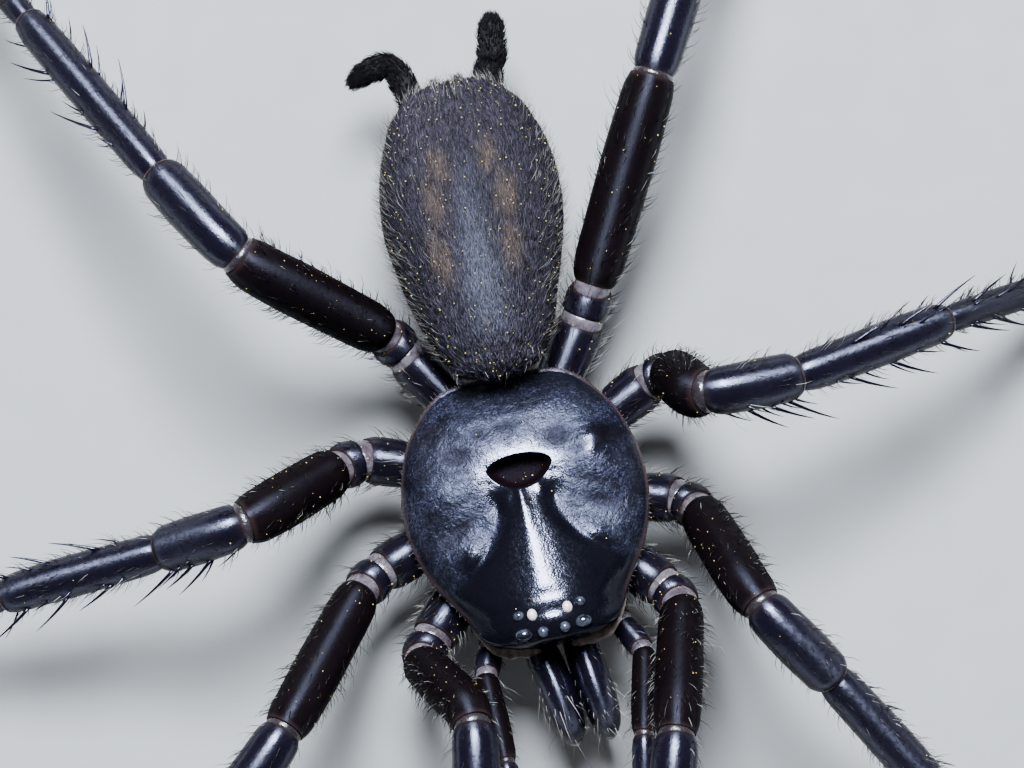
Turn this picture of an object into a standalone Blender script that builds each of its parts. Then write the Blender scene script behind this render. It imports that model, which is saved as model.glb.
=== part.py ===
"""A funnel-web spider at life size, standing still with its head towards -Y and its back up.

Every size and place below is in millimetres, measured from the middle of the carapace at floor level.
The finished model is moved so that its origin is the middle of its footprint.
"""

import math
import random
from collections import namedtuple

import bmesh
import bpy
import numpy as np
from mathutils import Vector

MM = 0.001
GAP = 0.3  # between neighbouring sub-parts
UP = Vector((0, 0, 1))

# Carapace
RIM_BOTTOM = 5.5
RIM_HEIGHT = 0.4
RIM_TOP = RIM_BOTTOM + RIM_HEIGHT
MARGIN = (  # right half of the outline, front to back
    (0.0, -5.65),
    (1.5, -5.55),
    (2.7, -5.05),
    (3.5, -3.75),
    (4.5, -2.1),
    (5.0, -0.5),
    (5.08, 1.0),
    (4.8, 2.5),
    (4.2, 3.9),
    (2.9, 5.35),
    (1.4, 5.75),
    (0.0, 5.65),
)
MARGIN_STEPS = 40
OUTLINE_STEPS = 12  # between two points of the outline, before it is spaced evenly
UNDERSIDE_SIZE = 0.96
DOME_RINGS = (1.0, 0.98, 0.94, 0.84, 0.72, 0.6, 0.48, 0.36, 0.25, 0.15, 0.07, 0.0)  # margin to pit
# Along the middle line: distance back, then the height of the head and of the sides over the rim's top
BACK_LINE = (-5.65, -5.4, -5.1, -4.2, -3.0, -1.5, 0.0, 1.2, 2.6, 4.2, 5.1, 5.75)
HEAD_LINE = (0.5, 1.4, 1.95, 2.5, 2.44, 2.26, 2.04, 1.6, 1.1, 0.8, 0.5, 0.1)
SIDE_LINE = (0.3, 0.5, 0.7, 0.95, 1.15, 1.4, 1.62, 1.76, 1.62, 1.25, 0.8, 0.2)
HEAD_HALF_WIDTHS = ((-5.65, 3.1), (-3.0, 2.9), (-0.5, 1.9), (1.2, 0.9))
HEAD_SPREAD = 1.3
HEAD_ROUNDNESS = 2.4
EDGE_POWERS = ((-2.5, 10.5), (-0.5, 3.5))  # a higher one keeps the back high nearer to the margin
EDGE_SOFTNESS = 0.75
PIT = (0.02, 1.62)
PIT_HALF_WIDTH = 1.34
PIT_FRONT = 0.9
PIT_REAR = 0.52
PIT_POINTEDNESS = 1.5  # of its front
PIT_DEPTH = 0.85
PIT_RINGS = ((0.8, 0.5), (0.4, 1.0))  # size and share of the depth
PIT_LIP = 0.05
PIT_LIP_REACH = 0.2
EYE_HILL = (0.04, -4.72)
EYE_HILL_SIZE = (1.75, 0.95, 0.75)
EYE_HILL_LIFT = 2.0  # of its middle over the rim's top

# Eyes: place and radii of the spider's left four, then of the right four
EYES = {
    "eye_ame_l": ((0.5, -5.32), (0.23, 0.23)),
    "eye_ale_l": ((1.27, -5.2), (0.36, 0.25)),
    "eye_pme_l": ((0.76, -4.55), (0.2, 0.2)),
    "eye_ple_l": ((1.3, -4.4), (0.24, 0.2)),
    "eye_ame_r": ((-0.4, -5.34), (0.23, 0.23)),
    "eye_ale_r": ((-1.18, -5.28), (0.36, 0.25)),
    "eye_pme_r": ((-0.7, -4.58), (0.2, 0.2)),
    "eye_ple_r": ((-1.24, -4.48), (0.24, 0.2)),
}
EYE_GAP = 0.12
HILL_SUBDIVISIONS = 3
EYE_SUBDIVISIONS = 2
EYE_LEAST_SHARE = 0.2  # keeps an eye that is off the hill from sinking too far

# Underside of the front body: half widths from front to back
STERNUM_TOP = RIM_BOTTOM - GAP
STERNUM_BOTTOM = 2.7
STERNUM = (
    (-4.3, 0.45),
    (-4.1, 0.8),
    (-2.6, 1.2),
    (-1.3, 2.1),
    (0.6, 2.6),
    (2.6, 2.6),
    (4.0, 1.9),
    (4.9, 1.0),
    (5.1, 0.5),
)
# Height over its underside and share of its size
STERNUM_RISE = ((0.0, 0.5), (0.15, 0.8), (0.5, 0.95), (1.1, 1.0), (STERNUM_TOP - STERNUM_BOTTOM, 1.0))
STERNUM_MIDDLE_Y = 1.0
CUTTER_REACH = 3.0  # of the sternum's cutter past its top and bottom

# Abdomen: distance back, middle, half width, underside and top
ABDOMEN = (
    (5.4, 0.05, 0.7, 6.85, 7.7),
    (5.7, 0.05, 1.5, 6.45, 8.25),
    (6.3, 0.05, 2.1, 5.7, 8.8),
    (7.2, 0.1, 2.6, 5.05, 9.35),
    (8.5, 0.1, 3.05, 4.4, 9.9),
    (10.2, 0.2, 3.5, 3.8, 10.3),
    (12.2, 0.3, 3.85, 3.3, 10.4),
    (14.2, 0.4, 3.75, 3.2, 10.1),
    (15.9, 0.45, 3.3, 3.4, 9.4),
    (17.2, 0.45, 2.6, 3.9, 8.4),
    (18.0, 0.45, 1.6, 4.7, 7.4),
    (18.25, 0.45, 0.7, 5.3, 6.7),
)
ABDOMEN_SIDES = 24
PEDICEL = ((0, 4.3, 4.2, 0.55), (0, 6.0, 4.6, 0.55), (0.05, 8.0, 5.8, 0.55))  # middle line with radii
PEDICEL_SIDES = 10

# Legs: lengths of the femur, patella, tibia, metatarsus and tarsus of each pair
LEG_LENGTHS = {
    1: (8.4, 4.9, 7.0, 6.6, 4.0),
    2: (8.3, 4.7, 6.8, 6.4, 4.0),
    3: (6.9, 4.3, 7.2, 6.8, 4.0),
    4: (9.2, 5.3, 10.0, 9.2, 4.6),
}
# Radii of the coxa, trochanter, femur, patella, tibia, metatarsus and tarsus of each pair
LEG_RADII = {
    1: (1.0, 0.92, 0.95, 0.95, 0.85, 0.6, 0.46),
    2: (1.0, 0.92, 1.0, 0.98, 0.85, 0.6, 0.46),
    3: (1.0, 0.95, 1.1, 1.0, 0.85, 0.6, 0.46),
    4: (1.05, 0.95, 1.1, 1.0, 0.8, 0.6, 0.46),
}
# Each leg: root inside the sternum, end of coxa, end of trochanter; then, from the femur to the tarsus,
# the way it points seen from above (degrees from the spider's left towards its tail) and each end's height
Leg = namedtuple("Leg", "pair root coxa hip turns heights")
LEGS = {
    "leg_l1": Leg(
        1, (1.5, -0.4), (4.9, -4.1), (5.38, -5.0), (-104, -107, -105, -100, -96), (11.3, 10.0, 6.8, 2.9)
    ),
    "leg_l2": Leg(
        2, (1.6, 0.8), (6.3, -0.6), (6.9, -1.35), (-76, -54, -57, -58, -60), (11.7, 9.3, 6.0, 2.6)
    ),
    "leg_l3": Leg(
        3, (1.5, 2.3), (6.1, 4.5), (7.0, 4.5), (-74, 2, 12, 15, 20), (11.7, 10.3, 7.9, 3.2)
    ),
    "leg_l4": Leg(
        4, (1.0, 3.4), (3.85, 7.6), (4.56, 8.75), (61, 62, 60, 59, 58), (8.3, 7.4, 4.6, 2.0)
    ),
    "leg_r1": Leg(
        1, (-1.5, -0.4), (-5.0, -4.2), (-5.6, -5.1), (-61, -102, -106, -108, -110), (12.6, 11.2, 7.6, 3.2)
    ),
    "leg_r2": Leg(
        2, (-1.6, 0.8), (-6.5, -1.0), (-7.4, -1.7), (-125, -138, -140, -138, -135), (10.1, 9.0, 6.0, 2.6)
    ),
    "leg_r3": Leg(
        3, (-1.5, 2.2), (-6.3, 3.8), (-7.4, 3.45), (-149, 180, -179, -172, -168), (10.5, 8.2, 6.2, 2.8)
    ),
    "leg_r4": Leg(
        4, (-0.9, 3.4), (-3.6, 7.7), (-4.31, 8.6), (150, 120, 117, 116, 116), (12.4, 11.0, 7.6, 3.0)
    ),
}
ROOT_HEIGHT = 3.7
COXA_HEIGHT = 4.4
HIP_HEIGHT = 5.2
LEG_SIDES = 12
SOLE_HEIGHT = 0.36  # of a toe's middle line over the floor
TOE_LENGTH = 0.6
TOE_RADIUS = 0.42
BEND = 2.0  # how far from a joint the limb starts to curve
BEND_SHARE = 0.42  # of a segment's length at most
BEND_STEPS = 12

# Spines: the segment that carries a row, the row's turn round it (90 is the top and 0 the side towards
# the head), and how far along the segment each spine stands
SPINE_ROWS = {
    1: (
        ("tibia", 250, (0.4, 0.85)),
        ("tibia", 300, (0.6, 0.85)),
        ("metatarsus", 235, (0.15, 0.5, 0.85)),
        ("metatarsus", 305, (0.3, 0.7)),
    ),
    3: (
        ("patella", 25, (0.4, 0.62, 0.84)),
        ("tibia", 30, (0.3, 0.6, 0.88)),
        ("tibia", 150, (0.35, 0.65, 0.9)),
        ("tibia", 250, (0.45, 0.85)),
        ("metatarsus", 40, (0.15, 0.4, 0.65, 0.9)),
        ("metatarsus", 140, (0.22, 0.5, 0.8)),
        ("metatarsus", 235, (0.3, 0.7)),
        ("metatarsus", 305, (0.45, 0.85)),
    ),
    4: (
        ("tibia", 20, (0.35, 0.7)),
        ("tibia", 160, (0.3, 0.6, 0.9)),
        ("tibia", 260, (0.5, 0.9)),
        ("metatarsus", 35, (0.2, 0.5, 0.8)),
        ("metatarsus", 150, (0.3, 0.6, 0.9)),
        ("metatarsus", 250, (0.4, 0.75)),
    ),
}
SPINE_ROWS[2] = SPINE_ROWS[1]
SPINE_LENGTH = 1.9
SPINE_RADIUS = 0.26
SPINE_LEAN = 38  # degrees off the leg
SPINE_ROOT = 0.3  # how deep a root is sunk
SPINE_BEND = (0.25, -0.1)  # of the tip, along the leg and away from it
SPINE_WAIST = 0.62  # of the radius, half way along
SPINE_VARIATION = (0.03, 10, 6)  # of the share along the segment, the turn and the lean
SPINE_LENGTHS = (0.8, 1.15)
LOWEST_TIP = 0.35
CLAW_LENGTH = 0.75
CLAW_RADIUS = 0.24
CLAW_APART = 0.14  # from the middle of the toe
CLAW_BACK = 0.25  # of a claw's root from the toe's end
CLAW_SPREAD = (0.25, 0.15)  # of its direction, aside and up
CLAW_DROOP = 0.2  # of its tip

# Palps
PALP_LENGTHS = (4.9, 2.6, 3.6, 3.0)
PALP_RADII = (0.62, 0.55, 0.52, 0.5, 0.48, 0.42)
Palp = namedtuple("Palp", "root coxa hip turns heights")
PALPS = {
    "palp_l": Palp(
        (0.5, -1.7), (2.8, -5.1), (3.5, -6.5), (-102, -101, -99, -98), (8.3, 7.4, 4.4, 1.6)
    ),
    "palp_r": Palp(
        (-0.5, -1.7), (-2.7, -5.1), (-3.1, -6.2), (-88, -92, -96, -98), (8.1, 7.2, 4.3, 1.6)
    ),
}
PALP_COXA_HEIGHT = 4.2
PALP_HIP_HEIGHT = 5.1
PALP_SIDES = 8

# Outline of one limb segment: share of its length and of its radius
SEGMENT = ((0.0, 0.7), (0.06, 0.92), (0.22, 1.0), (0.6, 1.03), (0.9, 0.95), (1.0, 0.72))
SHORT_SEGMENT = ((0.0, 0.8), (0.3, 1.0), (0.75, 1.0), (1.0, 0.75))
COXA = ((0.0, 0.7), (0.3, 0.78), (0.6, 0.95), (0.9, 1.0), (1.0, 0.85))
TARSUS = ((0.0, 0.85), (0.2, 1.0), (0.8, 0.98), (1.0, 0.92))
TOE = ((0.0, 1.0), (0.6, 0.95), (1.0, 0.6))
SEGMENT_NAMES = ("coxa", "trochanter", "femur", "patella", "tibia", "metatarsus", "tarsus", "toe")
LEG_PROFILES = (COXA, SHORT_SEGMENT, SEGMENT, SEGMENT, SEGMENT, SEGMENT, TARSUS, TOE)
PALP_COXA = ((0.0, 0.8), (0.5, 0.95), (0.9, 1.0), (1.0, 0.85))
PALP_TIP = ((0.0, 0.8), (0.25, 1.0), (0.8, 0.95), (1.0, 0.5))
PALP_PROFILES = (PALP_COXA, SHORT_SEGMENT, SEGMENT, SEGMENT, SEGMENT, PALP_TIP)

# Chelicerae and fangs: distance back, height, half width and half depth along the middle line
CHELICERA_SIDES = 12
FANG_SIDES = 8
CHELICERA_SPREAD = 0.84
CHELICERA_CLOSING = 0.12  # share by which their tips stand closer than their bases
CHELICERA_LEAN = 0.65  # of their tips towards the spider's left
CHELICERA = (
    (-4.6, 4.15, 0.5, 0.7),
    (-5.4, 4.2, 0.68, 1.05),
    (-6.4, 4.45, 0.76, 1.28),
    (-7.4, 4.58, 0.78, 1.27),
    (-8.25, 4.2, 0.72, 1.1),
    (-8.8, 3.4, 0.6, 0.8),
    (-9.0, 2.85, 0.42, 0.5),
)
FANG = (
    (-9.05, 2.5, 0.36, 0.4),
    (-9.12, 2.1, 0.34, 0.4),
    (-8.7, 1.6, 0.3, 0.33),
    (-7.9, 1.35, 0.22, 0.24),
    (-7.0, 1.35, 0.07, 0.08),
)

# Spinnerets: points of the middle line with radii
SPINNERET_SIDES = 8
SPINNERETS = {
    "spinneret_l": (
        (1.6, 16.6, 5.0, 0.5),
        (1.9, 17.9, 4.6, 0.6),
        (2.2, 18.8, 4.5, 0.56),
        (2.35, 19.1, 4.5, 0.48),
        (2.5, 19.5, 4.6, 0.54),
        (2.7, 20.5, 4.8, 0.5),
        (2.78, 20.9, 4.85, 0.3),
    ),
    "spinneret_r": (
        (-0.8, 16.6, 5.0, 0.45),
        (-1.15, 17.9, 4.6, 0.52),
        (-1.45, 19.2, 4.6, 0.5),
        (-1.7, 19.7, 4.7, 0.43),
        (-2.15, 19.9, 4.8, 0.48),
        (-2.9, 19.7, 5.0, 0.42),
        (-3.4, 19.4, 5.1, 0.24),
    ),
    "spinneret_median_l": ((0.75, 16.8, 4.9, 0.28), (0.8, 18.0, 4.3, 0.26), (0.85, 18.7, 4.2, 0.16)),
    "spinneret_median_r": ((-0.05, 16.8, 4.9, 0.28), (-0.1, 18.0, 4.3, 0.26), (-0.15, 18.7, 4.2, 0.16)),
}

# Colours: base colour, roughness
SHELL = ("shell", (0.012, 0.011, 0.014), 0.25)
SKIN = ("velvet", (0.035, 0.024, 0.02), 0.8)
UNDERSIDE = ("underside", (0.05, 0.03, 0.022), 0.5)
FANG_GLOSS = ("fang", (0.05, 0.01, 0.006), 0.2)
EYE_GLOSS = ("eye", (0.25, 0.24, 0.27), 0.08)


def clear_scene():
    for obj in list(bpy.data.objects):
        bpy.data.objects.remove(obj)


def material(look):
    """The Principled material of this look, made once."""
    name, colour, roughness = look
    found = bpy.data.materials.get(name)
    if found:
        return found
    made = bpy.data.materials.new(name)
    made.use_nodes = True
    shader = made.node_tree.nodes["Principled BSDF"]
    shader.inputs["Base Color"].default_value = (*colour, 1)
    shader.inputs["Roughness"].default_value = roughness
    return made


def add_object(name, bm, look):
    bmesh.ops.recalc_face_normals(bm, faces=bm.faces)
    mesh = bpy.data.meshes.new(name)
    bm.to_mesh(mesh)
    bm.free()
    mesh.shade_smooth()
    mesh.materials.append(material(look))
    obj = bpy.data.objects.new(name, mesh)
    bpy.context.scene.collection.objects.link(obj)
    return obj


def loft(rings):
    """A closed mesh through rings of points in millimetres, its two ends closed by fans."""
    bm = bmesh.new()
    loops = [[bm.verts.new(Vector(point) * MM) for point in ring] for ring in rings]
    sides = len(rings[0])
    for near, far in zip(loops, loops[1:]):
        for i in range(sides):
            j = (i + 1) % sides
            bm.faces.new((near[i], near[j], far[j], far[i]))
    for loop in (loops[0], loops[-1]):
        middle = bm.verts.new(sum((v.co for v in loop), Vector()) / sides)
        for i in range(sides):
            bm.faces.new((loop[i], loop[(i + 1) % sides], middle))
    bmesh.ops.triangulate(bm, faces=bm.faces)
    return bm


def smooth_curve(points, steps):
    """Points on a smooth curve through the given ones, with this many steps between neighbours."""
    points = np.asarray(points, float)
    before = np.vstack([2 * points[0] - points[1], points[:-1]])
    after = np.vstack([points[1:], 2 * points[-1] - points[-2]])
    slopes = (after - before) / 2
    made = []
    for i in range(len(points) - 1):
        for t in np.arange(steps) / steps:
            made.append(
                (2 * t**3 - 3 * t**2 + 1) * points[i]
                + (t**3 - 2 * t**2 + t) * slopes[i]
                + (3 * t**2 - 2 * t**3) * points[i + 1]
                + (t**3 - t**2) * slopes[i + 1]
            )
    made.append(points[-1])
    return made


def boolean(obj, others, operation):
    """Joins or cuts obj with the other objects, applies it and removes them."""
    group = bpy.data.collections.new("pieces")
    for other in others:
        group.objects.link(other)
    change = obj.modifiers.new("boolean", "BOOLEAN")
    change.operand_type = "COLLECTION"
    change.collection = group
    change.operation = operation
    change.solver = "EXACT"
    graph = bpy.context.evaluated_depsgraph_get()
    made = bpy.data.meshes.new_from_object(obj.evaluated_get(graph))
    obj.modifiers.clear()
    obj.data = made
    for other in others:
        bpy.data.objects.remove(other)
    bpy.data.collections.remove(group)
    keep_largest_surface(obj)


def keep_largest_surface(obj):
    """Drops loose scraps and sealed hollows that a union or a cut leaves."""
    bm = bmesh.new()
    bm.from_mesh(obj.data)
    left = set(bm.faces)
    shells = []
    while left:
        shell = set()
        front = [next(iter(left))]
        while front:
            face = front.pop()
            if face in shell:
                continue
            shell.add(face)
            front += [other for edge in face.edges for other in edge.link_faces]
        left -= shell
        shells.append(shell)
    largest = max(shells, key=lambda shell: sum(face.calc_area() for face in shell))
    spare = [face for face in bm.faces if face not in largest]
    bmesh.ops.delete(bm, geom=spare, context="FACES")
    bm.to_mesh(obj.data)
    bm.free()


class Path:
    """A middle line through joints, rounded at each, with a frame that doesn't twist."""

    SAMPLE = 0.08

    def __init__(self, joints):
        joints = [Vector(joint) for joint in joints]
        points = []
        self.marks = [0.0]
        for i, joint in enumerate(joints):
            if i in (0, len(joints) - 1):
                points.append(joint)
                continue
            before = joints[i - 1] - joint
            after = joints[i + 1] - joint
            reach = min(BEND, BEND_SHARE * before.length, BEND_SHARE * after.length)
            start = joint + before.normalized() * reach
            end = joint + after.normalized() * reach
            for step in range(BEND_STEPS + 1):
                t = step / BEND_STEPS
                points.append(start * (1 - t) ** 2 + joint * 2 * t * (1 - t) + end * t**2)
            self.marks.append(len(points) - 1 - BEND_STEPS // 2)
        self.points, self.marks = self.resample(points, self.marks)
        self.frames = self.carry_frame()

    def resample(self, points, marks):
        points = np.array(points)
        steps = np.linalg.norm(np.diff(points, axis=0), axis=1)
        along = np.concatenate([[0], np.cumsum(steps)])
        count = int(along[-1] / self.SAMPLE) + 1
        self.distances = np.linspace(0, along[-1], count)
        even = np.stack([np.interp(self.distances, along, points[:, k]) for k in range(3)], axis=1)
        return even, [along[int(mark)] for mark in marks] + [along[-1]]

    def carry_frame(self):
        tangents = np.gradient(self.points, axis=0)
        tangents /= np.linalg.norm(tangents, axis=1)[:, None]
        side = np.cross(tangents[0], UP)
        side /= np.linalg.norm(side)
        frames = []
        for tangent in tangents:
            side = side - tangent * (side @ tangent)
            side /= np.linalg.norm(side)
            frames.append((tangent, side, np.cross(side, tangent)))
        return np.array(frames)

    def at(self, distance):
        """(point, tangent, side, top) at this distance from the start."""
        point = np.array([np.interp(distance, self.distances, self.points[:, k]) for k in range(3)])
        index = int(round(distance / self.distances[-1] * (len(self.distances) - 1)))
        return (point, *self.frames[max(0, min(index, len(self.frames) - 1))])


def ring(path, distance, width, sides, depth=None):
    """Points round the path: half a width to each side and half a depth up and down."""
    point, _, side, top = path.at(distance)
    depth = depth or width
    turns = [2 * math.pi * (k + 0.5) / sides for k in range(sides)]
    return [point + width * math.cos(a) * side + depth * math.sin(a) * top for a in turns]


def limb_stations(path, radii, profiles):
    """(distance, radius) pairs for each segment of a limb."""
    segments = []
    for i, (radius, profile) in enumerate(zip(radii, profiles)):
        start, end = path.marks[i], path.marks[i + 1]
        segments.append([(start + share * (end - start), radius * width) for share, width in profile])
    return segments


def limb_piece(name, path, segments, sides, look, first, last):
    """One node of a limb, from a first to a last segment, half a gap short of its neighbours."""
    stations = []
    for segment in segments[first:last]:
        stations += segment if not stations else segment[1:]
    start = stations[0][0] + (GAP / 2 if first else 0)
    end = stations[-1][0] - (GAP / 2 if last < len(segments) else 0)
    stations[0] = (start, stations[0][1])
    stations[-1] = (end, stations[-1][1])
    rings = [ring(path, distance, radius, sides) for distance, radius in stations]
    return add_object(name, loft(rings), look)


def spike(root, direction, length, radius, bend):
    """A tapering four-sided spine whose tip bends by this vector."""
    side = direction.orthogonal().normalized()
    other = direction.cross(side)
    half_way = root + direction * length / 2 + bend / 4
    tip = root + direction * length + bend
    bm = bmesh.new()
    loops = []
    for middle, width in ((root, radius), (half_way, SPINE_WAIST * radius)):
        corners = [middle + axis * width for axis in (side, other, -side, -other)]
        loops.append([bm.verts.new(corner * MM) for corner in corners])
    point = bm.verts.new(tip * MM)
    near, far = loops
    for i in range(4):
        j = (i + 1) % 4
        bm.faces.new((near[i], near[j], far[j], far[i]))
        bm.faces.new((far[i], far[j], point))
    bm.faces.new(near)
    bmesh.ops.triangulate(bm, faces=bm.faces)
    return add_object("spike", bm, SHELL)


def segment_spines(path, marks, radius, row, mirrored, chance):
    """The spines of one row on the segment between these marks."""
    _, turn, shares = row
    share_off, turn_off, lean_off = SPINE_VARIATION
    spines = []
    for share in shares:
        distance = marks[0] + (share + chance.uniform(-share_off, share_off)) * (marks[1] - marks[0])
        angle = math.radians(turn + chance.uniform(-turn_off, turn_off))
        point, along, side, top = (Vector(v) for v in path.at(distance))
        outward = side * math.cos(angle) * (-1 if mirrored else 1) + top * math.sin(angle)
        lean = math.radians(SPINE_LEAN + chance.uniform(-lean_off, lean_off))
        direction = along * math.cos(lean) + outward * math.sin(lean)
        length = SPINE_LENGTH * chance.uniform(*SPINE_LENGTHS)
        root = point + outward * (radius - SPINE_ROOT)
        bend = along * SPINE_BEND[0] + outward * SPINE_BEND[1]
        if (root + direction * length + bend).z > LOWEST_TIP:
            spines.append(spike(root, direction, length, SPINE_RADIUS, bend))
    return spines


def toe_claws(path):
    """Two small claws side by side at the end of a toe."""
    end, along, side, top = (Vector(v) for v in path.at(path.marks[-1] - CLAW_BACK))
    claws = []
    for way in (-1, 1):
        direction = (along + side * CLAW_SPREAD[0] * way + top * CLAW_SPREAD[1]).normalized()
        root = end + side * CLAW_APART * way
        claws.append(spike(root, direction, CLAW_LENGTH, CLAW_RADIUS, UP * -CLAW_DROOP))
    return claws


def cut_at_floor(obj):
    """Takes off what lies under the floor and closes the cut with one flat face."""
    bm = bmesh.new()
    bm.from_mesh(obj.data)
    everything = list(bm.verts) + list(bm.edges) + list(bm.faces)
    bmesh.ops.bisect_plane(bm, geom=everything, plane_co=(0, 0, 0), plane_no=UP, clear_inner=True)
    rim = [edge for edge in bm.edges if edge.is_boundary]
    bmesh.ops.contextual_create(bm, geom=rim)
    bmesh.ops.recalc_face_normals(bm, faces=bm.faces)
    bm.to_mesh(obj.data)
    bm.free()


def walk(start, lengths, turns, heights):
    """Joints of a limb: each segment's length, the way it points from above, and the height it ends at."""
    joints = [Vector(start)]
    for length, turn, height in zip(lengths, turns, heights):
        last = joints[-1]
        reach = math.sqrt(length**2 - (height - last.z) ** 2)
        angle = math.radians(turn)
        joints.append(Vector((last.x + reach * math.cos(angle), last.y + reach * math.sin(angle), height)))
    return joints


def leg_path(leg):
    hip = (*leg.hip, HIP_HEIGHT)
    joints = walk(hip, LEG_LENGTHS[leg.pair], leg.turns, (*leg.heights, SOLE_HEIGHT))
    last_turn = math.radians(leg.turns[-1])
    toe = joints[-1] + Vector((math.cos(last_turn), math.sin(last_turn), 0)) * TOE_LENGTH
    return Path([(*leg.root, ROOT_HEIGHT), (*leg.coxa, COXA_HEIGHT), *joints, toe])


def make_leg(name, leg):
    path = leg_path(leg)
    radii = (*LEG_RADII[leg.pair], TOE_RADIUS)
    segments = limb_stations(path, radii, LEG_PROFILES)
    coxa = limb_piece(name + "_coxa", path, segments, LEG_SIDES, SHELL, 0, 2)
    boolean(coxa, [sternum_shape("cutter", GAP)], "DIFFERENCE")
    limb_piece(name + "_femur", path, segments, LEG_SIDES, SHELL, 2, 3)
    shin = limb_piece(name + "_tibia", path, segments, LEG_SIDES, SHELL, 3, 5)
    foot = limb_piece(name + "_foot", path, segments, LEG_SIDES, SHELL, 5, 8)
    spines = {"patella": [], "tibia": [], "metatarsus": []}
    chance = random.Random(name)
    for row in SPINE_ROWS[leg.pair]:
        index = SEGMENT_NAMES.index(row[0])
        marks = path.marks[index], path.marks[index + 1]
        spines[row[0]] += segment_spines(path, marks, radii[index], row, leg.hip[0] < 0, chance)
    boolean(shin, spines["patella"] + spines["tibia"], "UNION")
    boolean(foot, spines["metatarsus"] + toe_claws(path), "UNION")
    cut_at_floor(foot)


def make_palp(name, palp):
    hip = (*palp.hip, PALP_HIP_HEIGHT)
    joints = walk(hip, PALP_LENGTHS, palp.turns, palp.heights)
    path = Path([(*palp.root, ROOT_HEIGHT), (*palp.coxa, PALP_COXA_HEIGHT), *joints])
    segments = limb_stations(path, PALP_RADII, PALP_PROFILES)
    coxa = limb_piece(name + "_coxa", path, segments, PALP_SIDES, SHELL, 0, 2)
    boolean(coxa, [sternum_shape("cutter", GAP)], "DIFFERENCE")
    limb_piece(name + "_femur", path, segments, PALP_SIDES, SHELL, 2, 3)
    limb_piece(name + "_end", path, segments, PALP_SIDES, SHELL, 3, 6)


def margin_curve():
    """The carapace's outline as a closed ring of points, evenly spaced."""
    left = [(-x, y) for x, y in MARGIN[1:-1]]
    closed = [*MARGIN, *reversed(left)]
    dense = np.array(smooth_curve([*closed, closed[0]], OUTLINE_STEPS))
    along = np.concatenate([[0], np.cumsum(np.linalg.norm(np.diff(dense, axis=0), axis=1))])
    wanted = np.linspace(0, along[-1], MARGIN_STEPS, endpoint=False)
    return [(np.interp(d, along, dense[:, 0]), np.interp(d, along, dense[:, 1])) for d in wanted]


def carapace_height(x, y, share):
    """Height of the back over the rim's top; share is 0 at the pit and 1 at the margin."""
    head = np.interp(y, BACK_LINE, HEAD_LINE)
    sides = np.interp(y, BACK_LINE, SIDE_LINE)
    head_half = np.interp(y, *zip(*HEAD_HALF_WIDTHS))
    dome = head * (1 - (abs(x) / (HEAD_SPREAD * head_half)) ** HEAD_ROUNDNESS)
    power = np.interp(y, *zip(*EDGE_POWERS))
    lip = PIT_LIP * math.exp(-((share / PIT_LIP_REACH) ** 2))
    return max(dome, sides) * (1 - share**power) ** EDGE_SOFTNESS + lip


def pit_point(x, y):
    """The point of the pit's edge that faces this point of the margin."""
    turn = math.atan2(y - PIT[1], x - PIT[0])
    across, along = math.cos(turn), math.sin(turn)
    reach = PIT_REAR * along if along > 0 else -PIT_FRONT * abs(along) ** PIT_POINTEDNESS
    return PIT[0] + PIT_HALF_WIDTH * across, PIT[1] + reach


def make_carapace():
    outline = np.array(margin_curve())
    pit = np.array([pit_point(x, y) for x, y in outline])
    rings = [[(x * UNDERSIDE_SIZE, y * UNDERSIDE_SIZE, RIM_BOTTOM) for x, y in outline]]
    rings.append([(x, y, RIM_BOTTOM + RIM_HEIGHT / 2) for x, y in outline])
    for share in DOME_RINGS:
        points = pit + share * (outline - pit)
        rings.append([(x, y, RIM_TOP + carapace_height(x, y, share)) for x, y in points])
    middle = np.array(PIT)
    edge_height = RIM_TOP + carapace_height(*PIT, 0.0)
    for scale, depth in PIT_RINGS:
        points = middle + scale * (pit - middle)
        rings.append([(x, y, edge_height - depth * PIT_DEPTH) for x, y in points])
    carapace = add_object("carapace", loft(rings), SHELL)
    hill = ellipsoid("hill", (*EYE_HILL, RIM_TOP + EYE_HILL_LIFT), EYE_HILL_SIZE, HILL_SUBDIVISIONS)
    boolean(carapace, [hill], "UNION")
    sockets = [eye_shape("socket", place, radii, EYE_GAP) for place, radii in EYES.values()]
    boolean(carapace, sockets, "DIFFERENCE")


def ellipsoid(name, middle, radii, subdivisions):
    bm = bmesh.new()
    bmesh.ops.create_icosphere(bm, subdivisions=subdivisions, radius=1)
    for v in bm.verts:
        v.co = Vector([(m + c * r) * MM for m, c, r in zip(middle, v.co, radii)])
    return add_object(name, bm, SHELL)


def eye_shape(name, place, radii, margin=0.0):
    offset = [(p - middle) / size for p, middle, size in zip(place, EYE_HILL, EYE_HILL_SIZE)]
    drop = 1 - math.sqrt(max(EYE_LEAST_SHARE, 1 - math.hypot(*offset) ** 2))
    height = RIM_TOP + EYE_HILL_LIFT + EYE_HILL_SIZE[2] * (1 - drop)
    size = (radii[0] + margin, radii[1] + margin, radii[1] + margin)
    return ellipsoid(name, (*place, height), size, EYE_SUBDIVISIONS)


def make_eyes():
    for name, (place, radii) in EYES.items():
        eye = eye_shape(name, place, radii)
        eye.data.materials[0] = material(EYE_GLOSS)


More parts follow.
